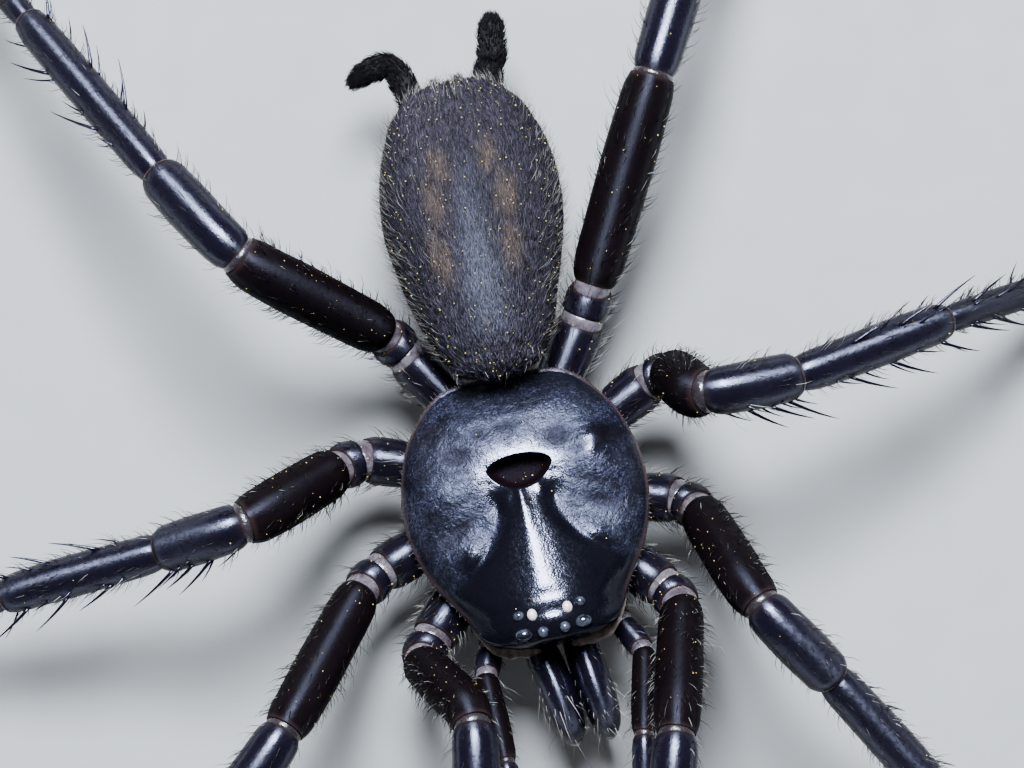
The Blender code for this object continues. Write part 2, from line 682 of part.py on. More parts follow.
def sternum_shape(name, margin=0.0):
    """The plate between the legs' roots with all that it carries, up to the carapace."""
    stations = smooth_curve(STERNUM, 2)
    outline = [(w, y) for y, w in stations] + [(-w, y) for y, w in reversed(stations)]
    grown = grow(outline, margin)
    if margin:
        levels = ((STERNUM_BOTTOM - CUTTER_REACH, 1.0), (STERNUM_TOP + CUTTER_REACH, 1.0))
    else:
        levels = [(STERNUM_BOTTOM + rise, size) for rise, size in STERNUM_RISE]
    rings = []
    for z, size in levels:
        rings.append([(x * size, STERNUM_MIDDLE_Y + (y - STERNUM_MIDDLE_Y) * size, z) for x, y in grown])
    return add_object(name, loft(rings), UNDERSIDE)


def grow(outline, margin):
    """The closed outline moved outwards by margin."""
    points = np.array(outline)
    along = np.roll(points, -1, axis=0) - np.roll(points, 1, axis=0)
    outward = np.stack([along[:, 1], -along[:, 0]], axis=1)
    outward /= np.linalg.norm(outward, axis=1)[:, None]
    return points + outward * margin


def abdomen_shape(name, margin=0.0):
    rings = []
    for y, middle, half, bottom, top in smooth_curve(ABDOMEN, 2):
        centre = (bottom + top) / 2
        wide = half + margin
        high = (top - bottom) / 2 + margin
        turns = [2 * math.pi * k / ABDOMEN_SIDES for k in range(ABDOMEN_SIDES)]
        rings.append([(middle + wide * math.cos(a), y, centre + high * math.sin(a)) for a in turns])
    for index, way in ((0, -1), (-1, 1)):
        rings[index] = [(x, y + way * margin, z) for x, y, z in rings[index]]
    return add_object(name, loft(rings), SKIN)


def tube(name, points, sides, look):
    """A bent round piece through points of (x, y, z, half width) or (x, y, z, half width, half depth)."""
    path = Path([point[:3] for point in points])
    rings = [ring(path, mark, point[3], sides, point[-1]) for mark, point in zip(path.marks, points)]
    return add_object(name, loft(rings), look)


def make_pedicel():
    pedicel = tube("pedicel", PEDICEL, PEDICEL_SIDES, UNDERSIDE)
    boolean(pedicel, [sternum_shape("cutter", GAP), abdomen_shape("cutter", GAP)], "DIFFERENCE")


def make_mouthparts():
    start, end = CHELICERA[0][0], CHELICERA[-1][0]
    for side, way in (("l", 1), ("r", -1)):
        for name, points, sides, look in (
            ("chelicera_", CHELICERA, CHELICERA_SIDES, SHELL),
            ("fang_", FANG, FANG_SIDES, FANG_GLOSS),
        ):
            middle_line = []
            for y, z, width, depth in points:
                share = (y - start) / (end - start)
                x = way * CHELICERA_SPREAD * (1 - CHELICERA_CLOSING * share) + CHELICERA_LEAN * share
                middle_line.append((x, y, z, width, depth))
            tube(name + side, middle_line, sides, look)


def make_spinnerets():
    for name, points in SPINNERETS.items():
        spinneret = tube(name, points, SPINNERET_SIDES, SKIN)
        boolean(spinneret, [abdomen_shape("cutter", GAP)], "DIFFERENCE")


def centre_on_footprint():
    """Moves every mesh so that the model's origin is the middle of its box, at the floor."""
    objects = list(bpy.context.scene.collection.objects)
    corners = np.array([v.co for obj in objects for v in obj.data.vertices])
    low, high = corners.min(axis=0), corners.max(axis=0)
    shift = Vector((-(low[0] + high[0]) / 2, -(low[1] + high[1]) / 2, -low[2]))
    for obj in objects:
        obj.location = shift


def main():
    clear_scene()
    make_carapace()
    make_eyes()
    sternum_shape("sternum")
    abdomen_shape("abdomen")
    make_pedicel()
    make_mouthparts()
    make_spinnerets()
    for name, leg in LEGS.items():
        make_leg(name, leg)
    for name, palp in PALPS.items():
        make_palp(name, palp)
    centre_on_footprint()


main()
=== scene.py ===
"""Looks of the funnel-web spider: skins, plates, hairs, spines and eyes, with a floor, light and a camera.

Sizes are in millimetres from the middle of the carapace at floor level, head towards -Y and back up.
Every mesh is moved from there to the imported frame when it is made.
"""

import math
import random
from collections import namedtuple

import bpy
import numpy as np
from mathutils import Matrix, Vector


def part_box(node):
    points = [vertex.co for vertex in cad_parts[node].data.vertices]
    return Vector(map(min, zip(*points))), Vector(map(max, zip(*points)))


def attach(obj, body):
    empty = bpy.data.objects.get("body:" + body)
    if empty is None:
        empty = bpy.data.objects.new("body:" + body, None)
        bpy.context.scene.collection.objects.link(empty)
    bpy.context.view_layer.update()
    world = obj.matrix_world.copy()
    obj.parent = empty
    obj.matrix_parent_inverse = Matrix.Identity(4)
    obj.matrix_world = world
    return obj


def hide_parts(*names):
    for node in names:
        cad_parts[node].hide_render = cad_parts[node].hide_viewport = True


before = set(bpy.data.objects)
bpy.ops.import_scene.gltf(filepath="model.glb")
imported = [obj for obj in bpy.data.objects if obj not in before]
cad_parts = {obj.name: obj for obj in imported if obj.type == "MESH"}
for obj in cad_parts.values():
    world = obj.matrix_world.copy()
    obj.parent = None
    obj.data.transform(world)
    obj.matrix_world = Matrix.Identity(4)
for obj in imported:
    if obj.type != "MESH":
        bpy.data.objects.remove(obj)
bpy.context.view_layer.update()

MM = 0.001
UP = np.array([0.0, 0.0, 1.0])

# Carapace
RIM_BOTTOM = 5.5
RIM_HEIGHT = 0.4
RIM_TOP = RIM_BOTTOM + RIM_HEIGHT
MARGIN_LIP = 0.02
# Right half of the outline, front to back
MARGIN = (
    (0.0, -5.65), (1.5, -5.55), (2.7, -5.05), (3.5, -3.75), (4.5, -2.1), (5.0, -0.5),
    (5.08, 1.0), (4.8, 2.5), (4.2, 3.9), (2.9, 5.35), (1.4, 5.75), (0.0, 5.65),
)
MARGIN_MIDDLE_Y = 0.05
RIM_RINGS = ((0.93, 0.0), (0.975, 0.0), (0.995, 0.08), (1.0, 0.2), (0.998, 0.34))  # share of outline, rise
CARAPACE_COLUMNS = 260
CARAPACE_ROWS = 90
ROWS_LEFT_SHARP = 12
SOFTENINGS = 5
BACK_LINE = (-5.65, -5.4, -5.1, -4.2, -3.0, -1.5, 0.0, 1.2, 2.6, 4.2, 5.1, 5.75)
HEAD_LINE = (0.5, 1.4, 1.95, 2.5, 2.44, 2.26, 2.04, 1.6, 1.1, 0.8, 0.5, 0.1)
SIDE_LINE = (0.3, 0.5, 0.7, 0.95, 1.15, 1.4, 1.62, 1.76, 1.62, 1.25, 0.8, 0.2)
HEAD_HALF_WIDTHS = ((-5.65, 3.1), (-3.0, 2.9), (-0.5, 1.9), (1.2, 0.9))
EDGE_POWERS = ((-2.5, 10.5), (-0.5, 3.5))  # a higher one keeps the back high nearer to the margin
EDGE_SOFTNESS = 0.75
BLEND_WIDTH = 0.5
# Half width of the smooth black head region, front to back
HEAD_EDGE = (
    (-5.65, 4.8), (-3.1, 4.3), (-2.6, 3.4), (-2.1, 2.5),
    (-1.1, 1.55), (-0.4, 1.15), (0.5, 1.2), (1.2, 1.35),
)
PIT = (0.02, 1.62)
PIT_HALF_WIDTH = 1.34
PIT_FRONT = 0.9
PIT_REAR = 0.52
PIT_DEPTH = 0.85
PIT_LIP = 0.05
PIT_LIP_REACH = 0.2
# Rings down the pit's wall: share of its outline and of its depth
PIT_WALL = (
    (0.985, 0.03), (0.96, 0.1), (0.92, 0.26), (0.86, 0.5),
    (0.76, 0.74), (0.6, 0.9), (0.35, 0.98), (0.12, 1.0),
)
EYE_HILL = (0.04, -4.92)
EYE_HILL_SIZE = (1.8, 1.05, 0.75)  # half width, half length and rise
EYE_HILL_LIFT = 2.0
RIDGE = ((0.9, -0.16), (-3.7, -0.02))  # its two ends, each as distance back and across
RIDGE_HEIGHT = 0.08
RIDGE_HALF_WIDTHS = (0.16, 0.7)
FURROWS = (-22, 8, 142, 172, 200)  # turns round the pit, in degrees from the spider's left to its tail
FURROW_DEPTH = 0.03
FURROW_WIDTH = 0.2
GROOVE_DEPTH = 0.16
GROOVE_HALF_WIDTH = 0.34
# Swellings and hollows of the back: middle, half length, half width, turn of its length, rise
RELIEF = (
    ((3.3, 2.2), 0.95, 0.65, 60, 0.3),
    ((-1.5, 2.9), 0.9, 0.6, -30, 0.1),
    ((-2.7, -1.7), 0.85, 0.65, 60, 0.25),
    ((2.6, -1.9), 0.9, 0.6, -40, 0.25),
    ((-4.1, 1.9), 0.9, 0.4, 85, 0.06),
    ((-3.1, 0.9), 0.9, 0.6, 10, 0.07),
    ((3.5, 0.8), 0.9, 0.6, -10, 0.07),
    ((-2.2, 4.0), 0.8, 0.5, -40, 0.07),
    ((1.6, 4.2), 0.9, 0.5, 20, 0.07),
    ((-0.85, 0.2), 0.5, 0.22, 70, 0.07),
    ((0.75, 0.55), 0.5, 0.22, 110, 0.07),
    ((-1.4, 3.4), 0.4, 0.28, -20, -0.05),
    ((-0.2, 3.5), 0.6, 0.25, 0, -0.06),
    ((1.8, 2.6), 0.55, 0.4, 20, -0.1),
    ((-2.5, 2.6), 0.6, 0.4, -15, -0.09),
    ((-3.0, -0.5), 0.85, 0.22, 29, -0.1),
    ((3.1, -0.4), 0.7, 0.22, -23, -0.1),
    ((-4.0, 2.7), 0.4, 0.25, 0, -0.05),
)

# Eyes: place, radii and which of the eye looks it takes
EYE_LIFT = 0.01
EYES = {
    "eye_ame_l": ((0.5, -5.32), (0.23, 0.23), "grey"),
    "eye_ale_l": ((1.27, -5.2), (0.36, 0.25), "grey"),
    "eye_pme_l": ((0.76, -4.55), (0.2, 0.25), "pale"),
    "eye_ple_l": ((1.3, -4.4), (0.24, 0.2), "grey"),
    "eye_ame_r": ((-0.4, -5.34), (0.23, 0.23), "grey"),
    "eye_ale_r": ((-1.18, -5.28), (0.36, 0.25), "grey"),
    "eye_pme_r": ((-0.7, -4.58), (0.2, 0.25), "pale"),
    "eye_ple_r": ((-1.24, -4.48), (0.24, 0.2), "grey"),
}

# The pale strip under each half of the front margin: where it starts and how far it runs across, half widths
STRIP_START = 0.6
STRIP_LENGTH = 2.6
STRIP_ENDS = 0.02
STRIP_SWELL = 0.24
STRIP_HEIGHT = RIM_BOTTOM + 0.22
# The patch of bristles between the eyes and the jaws: middle of its top, and how far it runs from there
FACE_PATCH = (0.1, -5.35, RIM_TOP + 1.1)
FACE_PATCH_SIZE = (0.9, -0.2, -0.6)

# Underside of the front body
STERNUM_BOTTOM = 2.7
STERNUM_MIDDLE = (0.0, 1.0)
# Right half of the outline: distance back and half width
STERNUM = (
    (-4.3, 0.45), (-4.1, 0.8), (-2.6, 1.2), (-1.3, 2.1), (0.6, 2.6),
    (2.6, 2.6), (4.0, 1.9), (4.9, 1.0), (5.1, 0.5),
)
# Its rings from the bottom up: rise and share of the outline
STERNUM_RINGS = ((0.0, 0.2), (0.0, 0.5), (0.08, 0.75), (0.3, 0.92), (0.7, 0.98), (1.2, 1.0), (2.5, 1.0))

# Abdomen: distance back, middle, half width, underside and top
ABDOMEN = (
    (5.4, 0.05, 0.7, 6.85, 7.7),
    (5.7, 0.05, 1.5, 6.45, 8.25),
    (6.3, 0.05, 2.1, 5.7, 8.8),
    (7.2, 0.1, 2.6, 5.05, 9.35),
    (8.5, 0.1, 3.05, 4.4, 9.9),
    (10.2, 0.2, 3.5, 3.8, 10.3),
    (12.2, 0.3, 3.85, 3.3, 10.4),
    (14.2, 0.4, 3.75, 3.2, 10.1),
    (15.9, 0.45, 3.3, 3.4, 9.4),
    (17.2, 0.45, 2.6, 3.9, 8.4),
    (18.0, 0.45, 1.6, 4.7, 7.4),
    (18.25, 0.45, 0.7, 5.3, 6.7),
)
COAT_DEPTH = 0.16
PEDICEL_POINTS = ((0, 4.3, 4.2), (0, 6.0, 4.6), (0.05, 8.0, 5.8))
PEDICEL_RADIUS = 0.55
# Brown marks on the abdomen: middle, half length back and half width
BROWN_MARKS = (
    ((-0.65, 13.9), 0.8, 0.42),
    ((-1.15, 12.4), 1.0, 0.4),
    ((-1.3, 10.1), 1.1, 0.45),
    ((1.4, 14.0), 0.8, 0.42),
    ((1.8, 12.2), 1.0, 0.48),
    ((1.55, 10.1), 1.0, 0.42),
    ((-0.08, 7.3), 0.3, 0.2),
)
# The blue-grey sheen painted along the abdomen: distance back, middle, half width and strength
PAINTED_SHEEN_STREAK = (
    (6.2, 0.05, 0.8, 0.0),
    (7.4, 0.08, 0.8, 0.75),
    (9.0, 0.12, 0.75, 1.0),
    (12.0, 0.22, 0.5, 0.5),
    (15.0, 0.35, 0.4, 0.0),
)
ABDOMEN_DOME = 0.1
SPINNERET_DOME = 0.08

# Legs: lengths of the femur, patella, tibia, metatarsus and tarsus of each pair
LEG_LENGTHS = {
    1: (8.4, 4.9, 7.0, 6.6, 4.0),
    2: (8.3, 4.7, 6.8, 6.4, 4.0),
    3: (6.9, 4.3, 7.2, 6.8, 4.0),
    4: (9.2, 5.3, 10.0, 9.2, 4.6),
}
LEG_RADII = {
    1: (1.0, 0.92, 0.95, 0.95, 0.85, 0.6, 0.46),
    2: (1.0, 0.92, 1.0, 0.98, 0.85, 0.6, 0.46),
    3: (1.0, 0.95, 1.1, 1.0, 0.85, 0.6, 0.46),
    4: (1.05, 0.95, 1.1, 1.0, 0.8, 0.6, 0.46),
}
Leg = namedtuple("Leg", "pair root coxa hip turns heights")
LEGS = {
    "leg_l1": Leg(1, (1.5, -0.4), (4.9, -4.1), (5.38, -5.0),
                  (-104, -107, -105, -100, -96), (11.3, 10.0, 6.8, 2.9)),
    "leg_l2": Leg(2, (1.6, 0.8), (6.3, -0.6), (6.9, -1.35),
                  (-76, -54, -57, -58, -60), (11.7, 9.3, 6.0, 2.6)),
    "leg_l3": Leg(3, (1.5, 2.3), (6.1, 4.5), (7.0, 4.5),
                  (-74, 2, 12, 15, 20), (11.7, 10.3, 7.9, 3.2)),
    "leg_l4": Leg(4, (1.0, 3.4), (3.85, 7.6), (4.56, 8.75),
                  (61, 62, 60, 59, 58), (8.3, 7.4, 4.6, 2.0)),
    "leg_r1": Leg(1, (-1.5, -0.4), (-5.0, -4.2), (-5.6, -5.1),
                  (-61, -102, -106, -108, -110), (12.6, 11.2, 7.6, 3.2)),
    "leg_r2": Leg(2, (-1.6, 0.8), (-6.5, -1.0), (-7.4, -1.7),
                  (-125, -138, -140, -138, -135), (10.1, 9.0, 6.0, 2.6)),
    "leg_r3": Leg(3, (-1.5, 2.2), (-6.3, 3.8), (-7.4, 3.45),
                  (-149, 180, -179, -172, -168), (10.5, 8.2, 6.2, 2.8)),
    "leg_r4": Leg(4, (-0.9, 3.4), (-3.6, 7.7), (-4.31, 8.6),
                  (150, 120, 117, 116, 116), (12.4, 11.0, 7.6, 3.0)),
}
ROOT_HEIGHT = 3.7
COXA_HEIGHT = 4.4
HIP_HEIGHT = 5.2
SOLE_HEIGHT = 0.36
TOE_LENGTH = 0.6
BEND = 2.0
BEND_SHARE = 0.42  # of the shorter segment at a joint, at most

# Spines: the segment, the row's turn round it and how far along the segment each one stands
SPINE_ROWS = {
    1: (
        ("tibia", 250, (0.4, 0.85)),
        ("tibia", 300, (0.6, 0.85)),
        ("metatarsus", 235, (0.15, 0.5, 0.85)),
        ("metatarsus", 305, (0.3, 0.7)),
    ),
    3: (
        ("patella", 25, (0.4, 0.62, 0.84)),
        ("tibia", 30, (0.3, 0.6, 0.88)),
        ("tibia", 150, (0.35, 0.65, 0.9)),
        ("tibia", 250, (0.45, 0.85)),
        ("metatarsus", 40, (0.15, 0.4, 0.65, 0.9)),
        ("metatarsus", 140, (0.22, 0.5, 0.8)),
        ("metatarsus", 235, (0.3, 0.7)),
        ("metatarsus", 305, (0.45, 0.85)),
    ),
    4: (
        ("tibia", 20, (0.35, 0.7)),
        ("tibia", 160, (0.3, 0.6, 0.9)),
        ("tibia", 260, (0.5, 0.9)),
        ("metatarsus", 35, (0.2, 0.5, 0.8)),
        ("metatarsus", 150, (0.3, 0.6, 0.9)),
        ("metatarsus", 250, (0.4, 0.75)),
    ),
}
SPINE_ROWS[2] = SPINE_ROWS[1]
SPINE_LENGTH = 1.9
SPINE_RADIUS = 0.075
SPINE_LEAN = 38
SPINE_SINK = 0.05
# How the main spines vary, then the finer ones between them: shift, turn, lean, length and radius
SpineKind = namedtuple("SpineKind", "shift turn lean length radius")
MAIN_SPINES = SpineKind(0.03, 10, (-6, 6), (0.8, 1.15), 1.0)
FINE_SPINES = SpineKind(0.04, 30, (-8, 14), (0.45, 0.75), 0.62)
# A spine from its root on: shares of its length and of its radius
SPIKE_SHARES = np.array([0.0, 0.15, 0.4, 0.65, 0.85, 0.97])
SPIKE_WIDTHS = np.array([1.0, 0.98, 0.8, 0.55, 0.3, 0.1])
LOWEST_TIP = 0.35
CLAW_LENGTH = 0.75
CLAW_RADIUS = 0.075

# Palps
PALP_LENGTHS = (4.9, 2.6, 3.6, 3.0)
PALP_RADII = (0.62, 0.55, 0.52, 0.5, 0.48, 0.42)
Palp = namedtuple("Palp", "root coxa hip turns heights")
PALPS = {
    "palp_l": Palp((0.5, -1.7), (2.8, -5.1), (3.5, -6.5), (-102, -101, -99, -98), (8.3, 7.4, 4.4, 1.6)),
    "palp_r": Palp((-0.5, -1.7), (-2.7, -5.1), (-3.1, -6.2), (-88, -92, -96, -98), (8.1, 7.2, 4.3, 1.6)),
}
PALP_COXA_HEIGHT = 4.2
PALP_HIP_HEIGHT = 5.1

# Outline of one limb segment: share of its length and of its radius
SEGMENT = (
    (0.0, 0.74), (0.04, 0.88), (0.12, 0.97), (0.3, 1.0),
    (0.6, 1.03), (0.82, 1.0), (0.93, 0.97), (1.0, 0.84),
)
SHORT_SEGMENT = ((0.0, 0.84), (0.15, 0.96), (0.45, 1.03), (0.8, 1.0), (1.0, 0.88))
COXA = ((0.0, 0.7), (0.3, 0.78), (0.6, 0.95), (0.9, 1.02), (1.0, 0.9))
TARSUS = ((0.0, 0.85), (0.2, 1.0), (0.75, 0.98), (0.93, 0.85), (1.0, 0.5))
PALP_TIP = ((0.0, 0.8), (0.25, 1.0), (0.7, 0.98), (0.92, 0.75), (1.0, 0.45))
LEG_PROFILES = (COXA, SHORT_SEGMENT, SEGMENT, SEGMENT, SEGMENT, SEGMENT, TARSUS)
PALP_PROFILES = (COXA, SHORT_SEGMENT, SEGMENT, SEGMENT, SEGMENT, PALP_TIP)
SEGMENT_NAMES = ("coxa", "trochanter", "femur", "patella", "tibia", "metatarsus", "tarsus")
LEG_JOINT_GAPS = (0.14, 0.12, 0.07, 0.05, 0.08, 0.05)
PALP_JOINT_GAPS = (0.1, 0.09, 0.07, 0.05, 0.05)
LEG_JOINT_CUTS = (0.42, 0.36, 0.14, 0.05, 0.06, 0.04)  # how much more skin shows on the upper side
PALP_JOINT_CUTS = (0.26, 0.24, 0.1, 0.04, 0.04)
PLATE_DULLNESS = (0.25, 0.1, 0.95, 0.0, 0.0, 0.2, 0.5)
ROWS_PER_MM = 5
SKIN_ROWS_PER_MM = 12
SKIN_WIDTH = 0.7  # share of the plates' radius, with the next one for the joints
JOINT_WIDTH = 0.93
# How a plate turns in at its ends: depth, as a share of its lip, and share of its radius
LIP = 0.05
LIP_DEPTHS = np.array([3.0, 0.6])
LIP_WIDTHS = np.array([0.6, 0.9])
EDGE_BAND = 0.16

# Hairs of a limb: pale or dark, share of them (0 for the long bristles), lengths, radius, share left on top
LEG_HAIRS = (
    ("pale", 0.45, (0.45, 0.95), 0.012, 0.06),
    ("pale", 0, (1.1, 1.9), 0.013, 0.2),
    ("dark", 0.55, (0.45, 1.1), 0.018, 0.5),
)
PALP_HAIRS = (
    ("pale", 0.5, (0.4, 0.85), 0.011, 0.1),
    ("pale", 0, (0.9, 1.6), 0.012, 0.3),
    ("dark", 0.5, (0.35, 0.9), 0.015, 0.6),
)
LONG_BRISTLES = 26
TOP_SHARE = 0.5  # the part of a limb higher than this share of its radius is its top
LimbStyle = namedtuple("LimbStyle", "parts sides skin_sides seed hairs_per_mm weights hairs")
LEG_WEIGHTS = (1.4, 1.2, 1.2, 0.6, 0.9, 1.1, 1.3)
PALP_WEIGHTS = (1.2, 1.2, 1.1, 0.8, 1.1, 1.5)
LEG_STYLE = LimbStyle(("coxa", "femur", "tibia", "foot"), 40, 32, 40, 50, LEG_WEIGHTS, LEG_HAIRS)
PALP_STYLE = LimbStyle(("coxa", "femur", "end"), 32, 24, 60, 36, PALP_WEIGHTS, PALP_HAIRS)

# Chelicerae and fangs: distance back, height, half width and half depth along the middle line
CHELICERA_SPREAD = 0.84
CHELICERA_LEAN = 0.65
CHELICERA = (
    (-4.6, 4.15, 0.5, 0.7),
    (-5.4, 4.2, 0.68, 1.05),
    (-6.4, 4.45, 0.76, 1.28),
    (-7.4, 4.58, 0.78, 1.27),
    (-8.25, 4.2, 0.72, 1.1),
    (-8.8, 3.4, 0.6, 0.8),
    (-9.0, 2.85, 0.42, 0.5),
)
FANG = (
    (-9.05, 2.5, 0.36, 0.4),
    (-9.12, 2.1, 0.34, 0.4),
    (-8.7, 1.6, 0.3, 0.33),
    (-7.9, 1.35, 0.22, 0.24),
    (-7.0, 1.35, 0.07, 0.08),
)

# Spinnerets: points of the middle line with radii
SPINNERETS = {
    "spinneret_l": (
        (1.6, 16.6, 5.0, 0.5), (1.9, 17.9, 4.6, 0.6), (2.2, 18.8, 4.5, 0.56), (2.35, 19.1, 4.5, 0.48),
        (2.5, 19.5, 4.6, 0.54), (2.7, 20.5, 4.8, 0.5), (2.78, 20.9, 4.85, 0.3),
    ),
    "spinneret_r": (
        (-0.8, 16.6, 5.0, 0.45), (-1.15, 17.9, 4.6, 0.52), (-1.45, 19.2, 4.6, 0.5), (-1.7, 19.7, 4.7, 0.43),
        (-2.15, 19.9, 4.8, 0.48), (-2.9, 19.7, 5.0, 0.42), (-3.4, 19.4, 5.1, 0.24),
    ),
    "spinneret_median_l": ((0.75, 16.8, 4.9, 0.28), (0.8, 18.0, 4.3, 0.26), (0.85, 18.7, 4.2, 0.16)),
    "spinneret_median_r": ((-0.05, 16.8, 4.9, 0.28), (-0.1, 18.0, 4.3, 0.26), (-0.15, 18.7, 4.2, 0.16)),
}
SPINNERET_SKIN_SHARE = 0.98

# Tufts: lengths, radius and lifts in degrees, after their number for the jaws
COAT_TUFTS = ((0.26, 0.5), 0.014, (2, 12))
FRINGE_TUFTS = ((0.4, 0.9), 0.0095, (18, 46))
SPINNERET_TUFTS = ((0.22, 0.46), 0.018, (12, 42))
JAW_TUFTS = (110, (0.25, 0.5), 0.009, (18, 38))
JAW_BRISTLES = (26, (1.0, 2.1), 0.014, (15, 42))
MARGIN_TUFTS = ((0.14, 0.34), 0.008)
FACE_TUFTS = ((0.3, 0.55), 0.012)

# Hairs
TUFTS_PER_PIECE = 19000
ABDOMEN_HAIRS = 57000
ABDOMEN_FRINGE = 4600
MARGIN_HAIRS = 190
FACE_BRISTLES = 16
SPINNERET_HAIRS = {"spinneret": 3000, "spinneret_median": 700}
LOWEST_HAIR = 0.03
HIGHEST_HAIR = 13.35
BAKE_PATCH = 0.003
SHINE_MAP = "Lengthwise"

# Golden grains: how many on each segment of a leg, on the abdomen, on the back and in the pit
LEG_GRAINS = (10, 9, 22, 2, 5, 3, 1)
ABDOMEN_GRAINS = 950
SMALLEST_GRAIN = 0.013
GRAIN_SPREAD = 0.03
BACK_GRAINS = 26
PIT_GRAINS = 9

# Colours, most of them as the darkest and the lightest of their patches
PLATE_BLACK = ((0.0016, 0.0012, 0.0036), (0.0054, 0.004, 0.0098))
PLATE_BROWN = ((0.0016, 0.001, 0.0013), (0.0055, 0.0032, 0.0036))
PLATE_EDGE = (0.016, 0.009, 0.009)
PLATE_TINT = (0.7, 0.73, 1.0)
HEAD_BLACK = ((0.0015, 0.0015, 0.003), (0.004, 0.004, 0.0065))
LOBE_GREY = ((0.004, 0.004, 0.0078), (0.044, 0.047, 0.086))
MARGIN_BROWN = (0.045, 0.026, 0.028)
# Painted shade: the dark brown laid down the pit and into the hollows and furrows of the back
PAINTED_RECESS_SHADE = (0.0045, 0.0022, 0.0032)
BACK_TINT = (0.66, 0.7, 1.0)
SKIN_DARK = (0.012, 0.008, 0.01)
SKIN_PALE = ((0.055, 0.042, 0.05), (0.15, 0.128, 0.15))
RIM_BROWN = ((0.1, 0.07, 0.058), (0.42, 0.34, 0.3))
VELVET = ((0.006, 0.0055, 0.0075), (0.018, 0.016, 0.021))
VELVET_BROWN = (0.05, 0.036, 0.03)
# Painted sheen: the blue-grey of the skin along the abdomen's middle
VELVET_PAINTED_SHEEN = (0.08, 0.084, 0.11)
VELVET_BLACK = ((0.002, 0.0017, 0.0025), (0.007, 0.006, 0.008))
COAT = ((0.0025, 0.002, 0.0045), (0.105, 0.09, 0.13))
COAT_BROWN = ((0.045, 0.032, 0.028), (0.22, 0.165, 0.145))
# Painted sheen: the blue-grey of the coat along the abdomen's middle
COAT_PAINTED_SHEEN = ((0.05, 0.053, 0.075), (0.27, 0.285, 0.38))
COAT_BLACK = ((0.002, 0.0017, 0.0025), (0.012, 0.01, 0.013))
HAIR_DARK = ((0.003, 0.0025, 0.003), (0.02, 0.015, 0.014))
HAIR_PALE = ((0.1, 0.09, 0.08), (0.5, 0.49, 0.46))
EYE_PALE = ((0.8, 0.62, 0.6), (0.97, 0.88, 0.87))
EYE_GREY = ((0.004, 0.005, 0.009), (0.055, 0.062, 0.085))
FANG_RED = ((0.012, 0.003, 0.002), (0.05, 0.011, 0.006))
SPECK_GOLD = ((0.5, 0.36, 0.06), (0.85, 0.7, 0.28))
FLOOR_PALE = ((0.34, 0.34, 0.335), (0.37, 0.37, 0.365))

# Lights: place, aim, width, power, colour and whether they show in reflections
LIGHTS = {
    "key": ((20, 105, 260), (0, 2, 5), 120, 3.4, (0.82, 0.89, 1.0), True),
    "fill_left": ((-330, -40, 240), (0, 0, 5), 300, 0.3, (0.9, 0.93, 1.0), False),
    "fill_right": ((330, -60, 240), (0, 0, 5), 300, 0.25, (0.95, 0.93, 1.0), False),
}
WORLD_COLOUR = (0.8, 0.85, 0.95, 1)
WORLD_STRENGTH = 0.05
FLOOR_HALF_WIDTH = 2500.0

# Camera: the body's middle stands at this pixel of the 1024 x 768 view
CAMERA_DISTANCE = 200.0
CAMERA_TILT = 10.0
CAMERA_ROLL = 12.0
CAMERA_TARGET = (0.0, 0.0, 7.0)
CAMERA_OFFSET_PX = (15.0, 123.0)
CAMERA_FOCAL_PX = 4900.0
CAMERA_NEAR = 5.0
SENSOR_MM = 36.0
VIEW_WIDTH_PX = 1024


def frame_shift():
    """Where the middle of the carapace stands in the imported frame, in millimetres."""
    low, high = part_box("carapace")
    return np.array([(low.x + high.x) / 2 / MM, (low.y + high.y) / 2 / MM - MARGIN_MIDDLE_Y, 0.0])


SHIFT = frame_shift()


# Curves


def hermite(t, start, start_slope, end, end_slope, width=1.0):
    """Value at share t of a piece of smooth curve."""
    return (
        (2 * t**3 - 3 * t**2 + 1) * start
        + (t**3 - 2 * t**2 + t) * start_slope * width
        + (3 * t**2 - 2 * t**3) * end
        + (t**3 - t**2) * end_slope * width
    )


def smooth_curve(points, steps):
    """Points on a smooth curve through the given ones, with this many steps between neighbours."""
    points = np.asarray(points, float)
    before = np.vstack([2 * points[0] - points[1], points[:-1]])
    after = np.vstack([points[1:], 2 * points[-1] - points[-2]])
    slopes = (after - before) / 2
    made = []
    for i in range(len(points) - 1):
        for t in np.arange(steps) / steps:
            made.append(hermite(t, points[i], slopes[i], points[i + 1], slopes[i + 1]))
    return np.array([*made, points[-1]])


def soft(x, xs, ys):
    """Values at x of a smooth curve through (xs, ys)."""
    xs = np.asarray(xs, float)
    ys = np.asarray(ys, float)
    x = np.clip(x, xs[0], xs[-1])
    slopes = np.gradient(ys, xs)
    i = np.clip(np.searchsorted(xs, x) - 1, 0, len(xs) - 2)
    width = xs[i + 1] - xs[i]
    return hermite((x - xs[i]) / width, ys[i], slopes[i], ys[i + 1], slopes[i + 1], width)


def smoothstep(low, high, x):
    t = np.clip((x - low) / (high - low), 0, 1)
    return t * t * (3 - 2 * t)


def bell(x, width):
    """One where x is 0, falling away over this width."""
    return np.exp(-((x / width) ** 2))


def unit(vectors):
    return vectors / np.linalg.norm(vectors, axis=-1, keepdims=True)


def circle(sides):
    """Even turns all round."""
    return 2 * np.pi * np.arange(sides) / sides


def distances_along(points):
    """Distance of each point from the first one, along the line of points."""
    return np.concatenate([[0], np.cumsum(np.linalg.norm(np.diff(points, axis=0), axis=1))])


def read_rows(x, xs, rows):
    """Rows at x, on straight lines between the rows that stand at xs."""
    return np.stack([np.interp(x, xs, column) for column in rows.T], axis=1)


